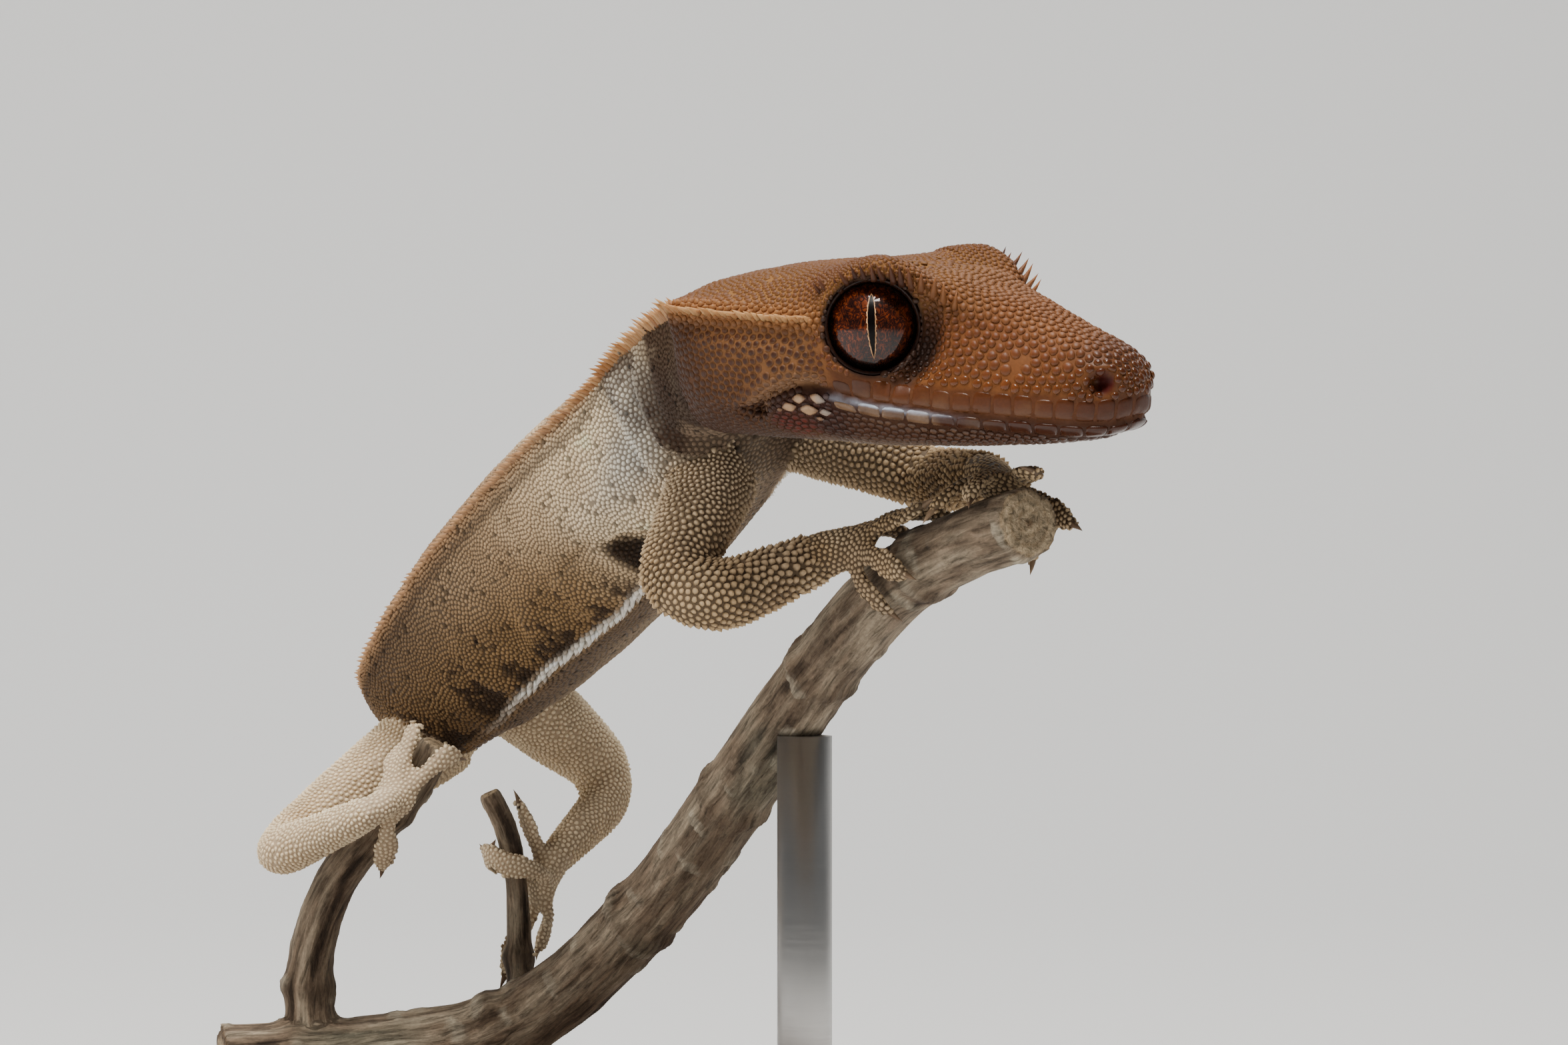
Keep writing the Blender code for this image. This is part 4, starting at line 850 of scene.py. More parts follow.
def scale_mesh(name, which, sides, rings, shares):
    """One mesh of closed domes, each filling the room that its neighbours leave it."""
    count = len(which)
    up = ups[which]
    first = unit(np.cross(up, np.where(np.abs(up[:, 2:]) < 0.8, (0, 0, 1.0), (1.0, 0, 0))))
    second = np.cross(up, first)
    room = root_room[which]
    away = roots[near[which]] - roots[which][:, None, :]
    alike = np.einsum("ijk,ik->ij", ups[near[which]], up) > 0.25
    flat = np.stack((np.einsum("ijk,ik->ij", away, first), np.einsum("ijk,ik->ij", away, second)), 2)
    start = draw.random(count) * 2 * math.pi
    angles = start[:, None] + np.arange(sides) * (2 * math.pi / sides)
    aims = np.stack((np.cos(angles), np.sin(angles)), 2)
    facing = np.einsum("ijk,ilk->ijl", aims, flat)
    square = np.einsum("ijk,ijk->ij", flat, flat)[:, None, :]
    limit = np.where((facing > 1e-3) & alike[:, None, :], 0.5 * square / np.maximum(facing, 1e-3), 9.0)
    reach = np.minimum(limit.min(axis=2), 0.72 * room[:, None])
    reach = 0.70 * reach + 0.15 * (np.roll(reach, 1, 1) + np.roll(reach, -1, 1))
    reach = reach * 0.965 - 0.008
    tall = height[which] * (0.85 + 0.3 * draw.random(count))
    sharp = cone[which]
    spokes = aims[..., :1] * first[:, None, :] + aims[..., 1:] * second[:, None, :]
    lean = lie[which] * (0.9 * sharp * tall)[:, None]
    layers = []
    tints = []
    patches = []
    for rho, share in zip(rings, shares):
        rise = (1 - sharp) * (1 - rho**3.0) + sharp * (1 - rho)
        rise = np.where(rho == 1.0, -0.06, tall * rise)
        layers.append(roots[which][:, None, :] + spokes * (reach * rho)[..., None]
                      + (up * rise[:, None] + lean * np.maximum(rise / tall, 0)[:, None])[:, None, :])
        tint = mixed(root_rim[which], root_middle[which], np.full(count, share))
        tints.append(np.repeat(tint[:, None, :], sides, 1))
        patches.append(aims * rho * 0.0015)
    layers.append((roots[which] + up * tall[:, None] + lean)[:, None, :])
    tints.append(root_middle[which][:, None, :] * 1.06)
    patches.append(np.zeros((count, 1, 2)))
    points = np.concatenate(layers, 1)
    tint = np.concatenate(tints, 1)
    patch = np.concatenate(patches, 1) + unwrap[which][:, None, :]
    each = points.shape[1]
    loops = []
    sizes = []
    for level_number in range(len(rings) - 1):
        low, high = level_number * sides, (level_number + 1) * sides
        for k in range(sides):
            n = (k + 1) % sides
            loops += [low + k, low + n, high + n, high + k]
            sizes.append(4)
    low = (len(rings) - 1) * sides
    for k in range(sides):
        loops += [low + k, low + (k + 1) % sides, each - 1]
        sizes.append(3)
    loops += list(range(sides))[::-1]
    sizes.append(sides)
    loops = (np.array(loops)[None, :] + np.arange(count)[:, None] * each).ravel()
    sizes = np.tile(sizes, count)
    mesh = bpy.data.meshes.new(name)
    mesh.vertices.add(count * each)
    mesh.vertices.foreach_set("co", (points * 0.001).astype(np.float32).ravel())
    mesh.loops.add(len(loops))
    mesh.loops.foreach_set("vertex_index", loops)
    mesh.polygons.add(len(sizes))
    mesh.polygons.foreach_set("loop_start", np.concatenate(([0], np.cumsum(sizes)[:-1])))
    mesh.polygons.foreach_set("use_smooth", np.ones(len(sizes), bool))
    mesh.update(calc_edges=True)
    mesh.validate()
    unwrapped = mesh.uv_layers.new(name="OFBake")
    unwrapped.data.foreach_set("uv", patch.reshape(-1, 2)[loops].astype(np.float32).ravel())
    add_tint(mesh, tint.reshape(-1, 3), np.repeat(root_gloss[which], each))
    return mesh


def add_tint(mesh, tint, gloss):
    """Gives each point of the mesh its colour and its gloss."""
    colour = mesh.attributes.new("tint", "FLOAT_COLOR", "POINT")
    colour.data.foreach_set("color", np.hstack((tint, np.ones((len(tint), 1)))).astype(np.float32).ravel())
    shine = mesh.attributes.new("gloss", "FLOAT", "POINT")
    shine.data.foreach_set("value", np.asarray(gloss, np.float32))


def add_node(tree, kind, **values):
    """A new shader node of this kind, with the inputs that values names."""
    made = tree.nodes.new("ShaderNode" + kind)
    for name, value in values.items():
        made.inputs[name.replace("_", " ").title()].default_value = value
    return made


def scaly(name, grain, rough_low, rough_high, lift, specular=0.28):
    """Scaled skin: the markings broken up by fine grain, with wet or dry gloss and tiny wrinkles."""
    made = bpy.data.materials.new(name)
    made.use_nodes = True
    tree = made.node_tree
    shader = tree.nodes["Principled BSDF"]
    shader.inputs["Specular IOR Level"].default_value = specular
    tint = add_node(tree, "Attribute")
    tint.attribute_name = "tint"
    shine = add_node(tree, "Attribute")
    shine.attribute_name = "gloss"
    where = add_node(tree, "TexCoord")
    noise = add_node(tree, "TexNoise", scale=grain, detail=5.0)
    tree.links.new(where.outputs["Object"], noise.inputs["Vector"])
    spread = add_node(tree, "MapRange", to_min=0.72, to_max=1.28)
    tree.links.new(noise.outputs["Fac"], spread.inputs["Value"])
    shaded = add_node(tree, "VectorMath")
    shaded.operation = "MULTIPLY"
    tree.links.new(tint.outputs["Color"], shaded.inputs[0])
    tree.links.new(spread.outputs["Result"], shaded.inputs[1])
    tree.links.new(shaded.outputs["Vector"], shader.inputs["Base Color"])
    wet = add_node(tree, "MapRange", to_min=rough_high, to_max=rough_low)
    tree.links.new(shine.outputs["Fac"], wet.inputs["Value"])
    tree.links.new(wet.outputs["Result"], shader.inputs["Roughness"])
    raised = add_node(tree, "Bump", strength=0.35, distance=lift)
    tree.links.new(noise.outputs["Fac"], raised.inputs["Height"])
    tree.links.new(raised.outputs["Normal"], shader.inputs["Normal"])
    return made


head_finish = scaly("head_scales", 5200.0, 0.16, 0.70, 0.00003, 0.36)
body_finish = scaly("body_scales", 6000.0, 0.34, 0.85, 0.00002, 0.18)
limb_finish = scaly("limb_scales", 6000.0, 0.32, 0.80, 0.00002, 0.22)


def settle_piece(name, mesh, finish):
    """Puts a finished mesh in the scene, riding on the still animal."""
    mesh.materials.append(finish)
    piece = bpy.data.objects.new(name, mesh)
    bpy.context.collection.objects.link(piece)
    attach(piece, "root")
    return piece


shown = ~left_bare
trunk_rows = np.flatnonzero(shown & (root_part == TRUNK_PART))
trunk_rows = trunk_rows[np.argsort(trunk_place(roots[trunk_rows])[0], kind="stable")]
thirds = np.array_split(trunk_rows, 3)
head_rows = np.flatnonzero(shown & on_head)
head_rows = head_rows[np.argsort(head_place(roots[head_rows])[0], kind="stable")]
halves = np.array_split(head_rows, 2)
named = {n: k for k, n in enumerate(PART_NAMES)}
arm_rows = np.flatnonzero(np.isin(root_part, [named["arm_right"], named["arm_left"]]))
leg_rows = np.flatnonzero(np.isin(root_part, [named["leg_right"], named["leg_left"]]))
TOED = ("hand_right", "hand_left", "foot_right", "foot_left")
toe_rows = np.flatnonzero(np.isin(root_part, [named[n] for n in TOED]))
tail_rows = np.flatnonzero(root_part == named["tail"])
three, two = (1.0, 0.80, 0.48), (1.0, 0.62)
coats = (
    ("scales_head_rear", halves[0], 10, three, (0.0, 0.40, 0.95), head_finish, "head_skin"),
    ("scales_head_front", halves[1], 10, three, (0.0, 0.40, 0.95), head_finish, "head_skin"),
    ("scales_neck", thirds[0], 7, two, (0.22, 1.0), body_finish, "body_skin"),
    ("scales_flank", thirds[1], 7, two, (0.20, 1.0), body_finish, "body_skin"),
    ("scales_hips", thirds[2], 7, two, (0.20, 1.0), body_finish, "body_skin"),
    ("scales_tail", tail_rows, 6, two, (0.2, 0.85), body_finish, "body_skin"),
    ("scales_arms", arm_rows, 8, two, (0.12, 0.85), limb_finish, "limb_skin"),
    ("scales_legs", leg_rows, 7, two, (0.25, 0.90), limb_finish, "limb_skin"),
    ("scales_toes", toe_rows, 6, two, (0.3, 0.90), limb_finish, "limb_skin"),
)
for name, rows, sides, rings, shares, finish, slot in coats:
    settle_piece(name, scale_mesh(name, rows, sides, rings, shares), finish)

skin_middle, skin_rim, skin_gloss = markings(skin_points, skin_part)
add_tint(even_mesh, mixed(skin_rim, skin_middle, np.full(len(skin_rim), 0.12)), skin_gloss)
even_mesh.vertices.foreach_set("co", (skin_points * 0.001).astype(np.float32).ravel())
shade_smooth(even_mesh)
even_mesh.materials.clear()
even_mesh.update()
skin = settle_piece("skin", even_mesh, body_finish)
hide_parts(*FLESH)

# Eyes. Each is a wet rust-brown ball with dark veining and a darker outer rim, partly painted shade,
# a black slit of a pupil with a pale scalloped edge, and a dark smooth rim of lid set in the socket
# round it, its darkness partly painted shade of the socket.


def head_point(s, r, u):
    return HEAD_AT + HEAD_FORWARD * s + HEAD_RIGHT * r + HEAD_UP * u


def plain_shader(name, colour, rough, coat=0.0):
    made = bpy.data.materials.new(name)
    made.use_nodes = True
    shader = made.node_tree.nodes["Principled BSDF"]
    shader.inputs["Base Color"].default_value = (*colour, 1)
    shader.inputs["Roughness"].default_value = rough
    shader.inputs["Coat Weight"].default_value = coat
    shader.inputs["Coat Roughness"].default_value = 0.02
    return made, made.node_tree, shader


iris, tree, shader = plain_shader("iris", (0.3, 0.08, 0.02), 0.38, 1.0)
gaze = add_node(tree, "Attribute")
gaze.attribute_name = "gaze"
shader.inputs["Coat IOR"].default_value = 1.42
shader.inputs["Specular IOR Level"].default_value = 0.08
stretched = add_node(tree, "Mapping", scale=(1.5, 1.0, 1.0))
tree.links.new(gaze.outputs["Vector"], stretched.inputs["Vector"])
worms = add_node(tree, "TexNoise", scale=4.6, detail=2.5, roughness=0.6, distortion=1.9)
tree.links.new(stretched.outputs["Vector"], worms.inputs["Vector"])
centred = add_node(tree, "Math")
centred.operation = "SUBTRACT"
centred.inputs[1].default_value = 0.5
tree.links.new(worms.outputs["Fac"], centred.inputs[0])
veins = add_node(tree, "Math")
veins.operation = "ABSOLUTE"
tree.links.new(centred.outputs["Value"], veins.inputs[0])
vein_ramp = add_node(tree, "ValToRGB")
vein_ramp.color_ramp.elements[0].position = 0.010
vein_ramp.color_ramp.elements[0].color = (0.012, 0.003, 0.002, 1)
vein_ramp.color_ramp.elements[1].position = 0.15
vein_ramp.color_ramp.elements[1].color = (0.145, 0.028, 0.006, 1)
middle_stop = vein_ramp.color_ramp.elements.new(0.050)
middle_stop.color = (0.032, 0.0045, 0.001, 1)
tree.links.new(veins.outputs["Value"], vein_ramp.inputs["Fac"])
patchy = add_node(tree, "TexNoise", scale=3.2, detail=6.0)
tree.links.new(gaze.outputs["Vector"], patchy.inputs["Vector"])
patch_ramp = add_node(tree, "MapRange", from_min=0.36, from_max=0.60, to_min=0.35, to_max=1.25)
tree.links.new(patchy.outputs["Fac"], patch_ramp.inputs["Value"])
patched = add_node(tree, "VectorMath")
patched.operation = "MULTIPLY"
tree.links.new(vein_ramp.outputs["Color"], patched.inputs[0])
tree.links.new(patch_ramp.outputs["Result"], patched.inputs[1])
split = add_node(tree, "SeparateXYZ")
tree.links.new(gaze.outputs["Vector"], split.inputs[0])
# the outer iris darkened, slightly more low down: partly the iris's own darker rim and partly painted shade
lower = add_node(tree, "Math")
lower.operation = "MULTIPLY_ADD"
lower.inputs[1].default_value = 0.10
tree.links.new(split.outputs["Y"], lower.inputs[0])
tree.links.new(split.outputs["Z"], lower.inputs[2])
iris_rim_dark_and_shade = add_node(tree, "MapRange")
iris_rim_dark_and_shade.interpolation_type = "SMOOTHSTEP"
iris_rim_dark_and_shade.inputs["From Min"].default_value = 0.57
iris_rim_dark_and_shade.inputs["From Max"].default_value = 0.73
iris_rim_dark_and_shade.inputs["To Min"].default_value = 0.02
iris_rim_dark_and_shade.inputs["To Max"].default_value = 1.0
tree.links.new(lower.outputs["Value"], iris_rim_dark_and_shade.inputs["Value"])
iris_rim_shaded = add_node(tree, "VectorMath")
iris_rim_shaded.operation = "MULTIPLY"
tree.links.new(patched.outputs["Vector"], iris_rim_shaded.inputs[0])
tree.links.new(iris_rim_dark_and_shade.outputs["Result"], iris_rim_shaded.inputs[1])
tree.links.new(iris_rim_shaded.outputs["Vector"], shader.inputs["Base Color"])
ripple = add_node(tree, "Bump", strength=0.5, distance=0.00008)
tree.links.new(veins.outputs["Value"], ripple.inputs["Height"])
tree.links.new(ripple.outputs["Normal"], shader.inputs["Normal"])


def mottled(name, colour, deep, rough, specular):
    """A finish with a fine natural unevenness between two near tones."""
    made, tree, shader = plain_shader(name, colour, rough)
    shader.inputs["Specular IOR Level"].default_value = specular
    where = add_node(tree, "TexCoord")
    noise = add_node(tree, "TexNoise", scale=3800.0, detail=4.0)
    tree.links.new(where.outputs["Object"], noise.inputs["Vector"])
    tones = add_node(tree, "ValToRGB")
    tones.color_ramp.elements[0].position = 0.36
    tones.color_ramp.elements[0].color = (*deep, 1)
    tones.color_ramp.elements[1].position = 0.62
    tones.color_ramp.elements[1].color = (*colour, 1)
    tree.links.new(noise.outputs["Fac"], tones.inputs["Fac"])
    tree.links.new(tones.outputs["Color"], shader.inputs["Base Color"])
    return made


pupil_black = mottled("pupil_black", (0.004, 0.003, 0.003), (0.002, 0.001, 0.001), 0.30, 0.12)
pupil_pale = mottled("pupil_edge", (0.60, 0.34, 0.17), (0.36, 0.17, 0.07), 0.4, 0.3)
# the lid rim round the eye, dark partly in its own colour and partly as painted shade of the socket
lid_rim_dark_and_shade = mottled("lid_rim_dark_and_shade", (0.036, 0.014, 0.008), (0.016, 0.006, 0.004), 0.34, 0.30)

EYE_RADIUS = 3.42
for way, side_name in ((1, "right"), (-1, "left")):
    centre = head_point(EYE_AT[0], EYE_AT[1] * way, EYE_AT[2])
    axis = unit(HEAD_FORWARD * GAZE[0] + HEAD_RIGHT * GAZE[1] * way + HEAD_UP * GAZE[2])
    lift = unit(HEAD_UP - axis * (HEAD_UP @ axis))
    across = np.cross(lift, axis)
    turn = Matrix((across, lift, axis)).transposed().to_4x4()
    put = Matrix.Scale(0.001, 4) @ Matrix.Translation(Vector(centre)) @ turn
    bm = bmesh.new()
    bmesh.ops.create_uvsphere(bm, u_segments=96, v_segments=64, radius=EYE_RADIUS)
    gazes = np.array([v.co for v in bm.verts]) / EYE_RADIUS
    bmesh.ops.transform(bm, matrix=put, verts=list(bm.verts))
    mesh = mesh_from(bm, "eyeball_" + side_name)
    seen = mesh.attributes.new("gaze", "FLOAT_VECTOR", "POINT")
    seen.data.foreach_set("vector", gazes.astype(np.float32).ravel())
    shade_smooth(mesh)
    eyeball = settle_piece("eyeball_" + side_name, mesh, iris)
    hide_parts("eye_" + side_name)
    for name, more, out, finish in (("pupil_edge_", 0.075, 0.012, pupil_pale),
                                    ("pupil_", 0.0, 0.024, pupil_black)):
        bm = bmesh.new()
        bmesh.ops.create_grid(bm, x_segments=4, y_segments=90, size=1.0)
        for vert in bm.verts:
            x, y = vert.co.x, vert.co.y
            high = 2.06 + more * 0.9
            lean = -0.14 * y - 0.10 * (1 - y * y)
            wave = 0.030 * math.sin(y * 26 + 2 * x) + 0.022 * math.sin(y * 61 + 2.0 * way)
            half = 0.235 * max(1 - y * y, 0.0) ** 0.75 * (1.0 + 0.22 * y) + more * (1 - y**6)
            half += (wave if more else wave * 0.25) * (1 - y * y)
            px, py = x * max(half, 0.004) + lean * way, y * high
            vert.co = (px, py, math.sqrt(EYE_RADIUS**2 - px * px - py * py) + out)
        bmesh.ops.solidify(bm, geom=list(bm.faces), thickness=-0.03)
        bmesh.ops.recalc_face_normals(bm, faces=list(bm.faces))
        bmesh.ops.transform(bm, matrix=put, verts=list(bm.verts))
        mesh = mesh_from(bm, name + side_name)
        settle_piece(name + side_name, mesh, finish)
    bm = bmesh.new()
    ring = bmesh.ops.create_circle(bm, segments=10, radius=0.22)["verts"]
    bmesh.ops.rotate(bm, verts=ring, cent=(0, 0, 0), matrix=Matrix.Rotation(math.pi / 2, 3, "X"))
    bmesh.ops.scale(bm, verts=ring, vec=(1.0, 1.0, 2.6))
    bmesh.ops.translate(bm, verts=ring, vec=(3.10, 0, 1.55))
    bmesh.ops.spin(bm, geom=list(bm.edges), cent=(0, 0, 0), axis=(0, 0, 1), angle=2 * math.pi,
                   steps=72, use_merge=True)
    bmesh.ops.recalc_face_normals(bm, faces=list(bm.faces))
    bmesh.ops.transform(bm, matrix=put, verts=list(bm.verts))
    mesh = mesh_from(bm, "lid_rim_" + side_name)
    shade_smooth(mesh)
    settle_piece("lid_rim_" + side_name, mesh, lid_rim_dark_and_shade)

# Spines. A row of curved horny spines runs from each brow like lashes, along the rim of the skull
# and down both edges of the back, longest at the eye and neck and short over the hips.


def spine_mesh(name, roots, aims, bends, lengths, radii, tints):
    """One mesh of curved six-sided horns, each with its foot a little under the skin."""
    count = len(roots)
    aims = unit(aims)
    first = unit(np.cross(aims, (0.3, 0.5, 0.8)))
    second = np.cross(aims, first)
    turns = np.arange(6) * math.pi / 3
    spokes = (np.cos(turns)[None, :, None] * first[:, None, :]
              + np.sin(turns)[None, :, None] * second[:, None, :])
    layers = []
    colours = []
    for rise, wide, pale in ((-0.25, 1.15, 0.55), (0.0, 1.0, 0.75), (0.30, 0.74, 0.95), (0.62, 0.42, 1.15)):
        at = roots + aims * (lengths * rise)[:, None] + bends * (lengths * max(rise, 0) ** 2)[:, None]
        layers.append(at[:, None, :] + spokes * (radii * wide)[:, None, None])
        colours.append(np.repeat((tints * pale)[:, None, :], 6, 1))
    layers.append((roots + aims * lengths[:, None] + bends * lengths[:, None])[:, None, :])
    colours.append(tints[:, None, :] * 1.25)
    points = np.concatenate(layers, 1)
    faces = []
    for low in (0, 6, 12):
        faces += [(low + k, low + (k + 1) % 6, low + 6 + (k + 1) % 6, low + 6 + k) for k in range(6)]
    faces += [(18 + k, 18 + (k + 1) % 6, 24) for k in range(6)]
    faces.append((5, 4, 3, 2, 1, 0))
    every = [tuple(25 * n + k for k in face) for n in range(count) for face in faces]
    mesh = bpy.data.meshes.new(name)
    mesh.from_pydata((points * 0.001).reshape(-1, 3).tolist(), [], every)
    shade_smooth(mesh)
    add_tint(mesh, np.concatenate(colours, 1).reshape(-1, 3), np.full(count * 25, 0.45))
    return mesh


def on_skin(points):
    return np.array([skin_tree.find_nearest(p)[0] for p in points])


horn = scaly("horn", 4000.0, 0.30, 0.62, 0.00002)
jitter = np.random.default_rng(23)
for way, side_name in ((1, "right"), (-1, "left")):
    spots = 0.06 + 6.69 * np.linspace(0, 1, 140) ** 1.2 + jitter.uniform(-0.010, 0.010, 140)
    ways_at = unit(run_through(TRUNK_WAYS, spots))
    backs_at = run_through(TRUNK_BACKS, spots)
    backs_at = unit(backs_at - ways_at * dot(ways_at, backs_at)[:, None])
    sides_at = np.cross(ways_at, backs_at) * way
    crest_at = run_through(CREST, spots)
    rows = run_through(TRUNK_LINE, spots) + sides_at * crest_at[:, :1] + backs_at * crest_at[:, 1:]
    rows = on_skin(rows)
    aims = sides_at * 0.55 + backs_at * 0.72 - ways_at * 0.30 + jitter.normal(0, 0.06, (140, 3))
    lengths = np.interp(spots, (0, 0.8, 1.8, 3.5, 5.8, 6.75), (1.20, 1.15, 1.00, 0.86, 0.68, 0.22))
    lengths = lengths * jitter.uniform(0.85, 1.15, 140)
    tints = mixed((0.28, 0.115, 0.036), (0.46, 0.255, 0.11), jitter.random(140))
    tints = mixed(tints, (0.34, 0.20, 0.105), ramp(spots, 1.6, 3.0) * 0.6)
    radii = np.interp(spots, (0, 1.8, 5.8, 6.75), (0.28, 0.28, 0.25, 0.12))
    settle_piece("crest_back_" + side_name, spine_mesh("crest_back_" + side_name, rows, aims,
                 -ways_at * 0.28, lengths, radii, tints), horn)

    s = np.linspace(11.9, 0.1, 30) + jitter.uniform(-0.08, 0.08, 30)
    r = np.interp(s, (0.0, 1.2, 3.8, 7.0, 9.8, 12.2), (9.2, 9.6, 9.85, 9.85, 9.4, 8.6))
    rows = np.array([head_point(a, b * way, 4.15) for a, b in zip(s, r)])
    rows = on_skin(rows)
    aims = (HEAD_RIGHT * way * 0.72 + HEAD_UP * 0.48 - HEAD_FORWARD * 0.30
            + jitter.normal(0, 0.10, (30, 3)))
    lengths = np.interp(s, (0, 3, 12), (1.10, 0.72, 0.46)) * jitter.uniform(0.8, 1.2, 30)
    tints = mixed((0.36, 0.165, 0.058), (0.46, 0.255, 0.105), jitter.random(30))
    settle_piece("crest_head_" + side_name, spine_mesh("crest_head_" + side_name, rows, aims,
                 np.tile(-HEAD_FORWARD * 0.25, (30, 1)), lengths, np.full(30, 0.25), tints),
                 horn)

    s = np.linspace(11.8, 20.2, 15) + jitter.uniform(-0.08, 0.08, 15)
    r = np.interp(s, (11.8, 14.2, 16.2, 18.4, 20.4), (8.3, 7.9, 7.5, 6.5, 5.1))
    u = np.interp(s, (11.8, 14.2, 16.2, 18.4, 20.4), (5.9, 7.1, 7.2, 6.6, 5.3))
    rows = np.array([head_point(a, b * way, c) for a, b, c in zip(s, r, u)])
    rows = on_skin(rows)
    fan_out = (s - 15.6)[:, None] * 0.105
    aims = (HEAD_RIGHT * way * 0.62 + HEAD_UP * 0.72 + HEAD_FORWARD * fan_out
            + jitter.normal(0, 0.06, (15, 3)))
    lengths = (0.92 + 0.46 * bump(s, 19.0, 3.6)) * jitter.uniform(0.88, 1.12, 15)
    tints = mixed((0.045, 0.014, 0.007), (0.105, 0.036, 0.015), jitter.random(15))
    tints = mixed(tints, (0.22, 0.085, 0.028), ramp(s, 17.0, 19.6))
    settle_piece("lashes_" + side_name, spine_mesh("lashes_" + side_name, rows, aims,
                 np.tile(HEAD_UP * 0.22, (15, 1)), lengths, 0.19 + 0.10 * bump(s, 19.0, 3.0), tints),
                 horn)

# Lips. A row of tall square-cornered plates along the upper lip, with one broad plate at the tip of
# the snout, and a row of low plates below the mouth whose rear ones have a pale blue-grey wet edge,
# partly a pale lip and partly a painted highlight.
LIP_PLAN = np.array(((10.6, 8.9), (12.2, 8.5), (14.2, 8.2), (16.2, 7.9), (18.4, 7.4), (20.4, 6.9),
                     (23.0, 6.1), (26.0, 5.1), (28.4, 4.1), (30.0, 3.2), (31.0, 2.1), (31.5, 0.95),
                     (31.62, 0.0)))
plan = np.vstack((LIP_PLAN, (LIP_PLAN * (1, -1))[-2::-1]))
plan_fine = run_through(plan, np.linspace(0, len(plan) - 1, 800))
plan_steps = np.concatenate(([0], np.cumsum(np.linalg.norm(np.diff(plan_fine, axis=0), axis=1))))
plan_length = plan_steps[-1]
LIP_START = 2.4


def plan_at(along):
    """Millimetres forward and to the right, at a length along the lip."""
    return np.array([np.interp(along, plan_steps, plan_fine[:, k]) for k in (0, 1)])


def lip_spot(along, above):
    """The place on the skin at a length along the lip, and a height above the line of the mouth."""
    s, r = plan_at(along)
    s_on, r_on = plan_at(along + 0.2) - plan_at(along - 0.2)
    out = HEAD_FORWARD * -r_on + HEAD_RIGHT * s_on
    out = out / np.linalg.norm(out)
    mouth = height_on(MOUTH_LINE, s)
    start = head_point(s, r, mouth + above) + out * 2.5
    hit = skin_tree.ray_cast(Vector(start), Vector(-out), 6.0)
    if hit[0] is None:
        return head_point(s, r, mouth + above), out
    return np.array(hit[0]), 0.6 * np.array(hit[1]) + 0.4 * out


def lip_row(name, low, tall, widths, lift, tint_of):
    """A row of cushioned plates round the lip, each with rounded corners and its edges sunk."""
    bm = bmesh.new()
    edges = np.concatenate(([0], np.cumsum(widths)))
    edges = edges / edges[-1] * (plan_length - 2 * LIP_START) + LIP_START
    for start, end in zip(edges, edges[1:]):
        made = bmesh.ops.create_grid(bm, x_segments=7, y_segments=7, size=1.0)["verts"]
        skew = jitter.uniform(-0.05, 0.05)
        top = tall * jitter.uniform(0.90, 1.08)
        near_end = min(start - LIP_START, plan_length - LIP_START - end)
        top *= 0.55 + 0.45 * min(1.0, (near_end + 1.0) / 3.0)
        for vert in made:
            p, q = vert.co.x, vert.co.y
            round_off = 1 - 0.10 * abs(p) ** 4 * abs(q) ** 4
            along = (start + end) / 2 + (end - start) * 0.495 * p * round_off + skew * q
            above = low + top * (0.5 + 0.5 * q * round_off) - (0.10 * abs(p) ** 3 * tall if q > 0 else 0)
            place, out = lip_spot(along, above)
            swell = (1 - abs(p) ** 8) * (1 - abs(q) ** 8)
            vert.co = place + out * (lift * swell - 0.03)
    bmesh.ops.solidify(bm, geom=list(bm.faces), thickness=0.08)
    bmesh.ops.recalc_face_normals(bm, faces=list(bm.faces))
    points = np.array([v.co for v in bm.verts])
    bmesh.ops.scale(bm, verts=list(bm.verts), vec=(0.001, 0.001, 0.001))
    mesh = mesh_from(bm, name)
    shade_smooth(mesh)
    add_tint(mesh, *tint_of(points))
    return mesh


def upper_tint(points):
    s, _, u = head_place(points)
    mouth = height_on(MOUTH_LINE, s)
    tint = mixed((0.120, 0.042, 0.015), (0.16, 0.070, 0.030), ramp(mouth + 0.9 - u, 0, 0.8))
    tint = mixed(tint, (0.22, 0.13, 0.070), ramp(cloudy(points, 1.6, 2, 51), 0.5, 0.8) * 0.30)
    tint = mixed(tint, (0.050, 0.021, 0.012), ramp(-s, -17.0, -13.0) * 0.6)
    tint = mixed(tint, (0.075, 0.024, 0.010), ramp(s, 26.5, 30.0) * 0.7) * (0.72, 0.60, 0.50)
    return tint, 0.45 + 0.4 * ramp(u - mouth, 1.0, 1.5)


def lower_tint(points):
    s, _, u = head_place(points)
    mouth = height_on(MOUTH_LINE, s)
    pale = ramp(-s, -24.5, -18.0)
    pale = pale * ramp(cloudy(points, 2.0, 2, 52), 0.30, 0.60)
    tint = mixed((0.048, 0.014, 0.006), (0.22, 0.135, 0.078), pale * 0.75)
    # a pale blue-grey edge along the rear of the lower lip, partly a pale lip and partly a painted wet
    # highlight
    tint = mixed(tint, (0.40, 0.46, 0.56), ramp(-s, -22.5, -17.0) * bump(u - mouth, -0.22, 0.11) * 1.1)
    return tint, np.full(len(points), 0.9)


upper_widths = [1.25] * 15 + [2.3] + [1.25] * 15
lower_widths = [1.45] * 12 + [2.2] + [1.45] * 12
settle_piece("lip_plates_upper", lip_row("lip_plates_upper", 0.07, 1.50, upper_widths, 0.075, upper_tint),
             head_finish)
settle_piece("lip_plates_lower", lip_row("lip_plates_lower", -1.02, 0.90, lower_widths, 0.12, lower_tint),
             head_finish)
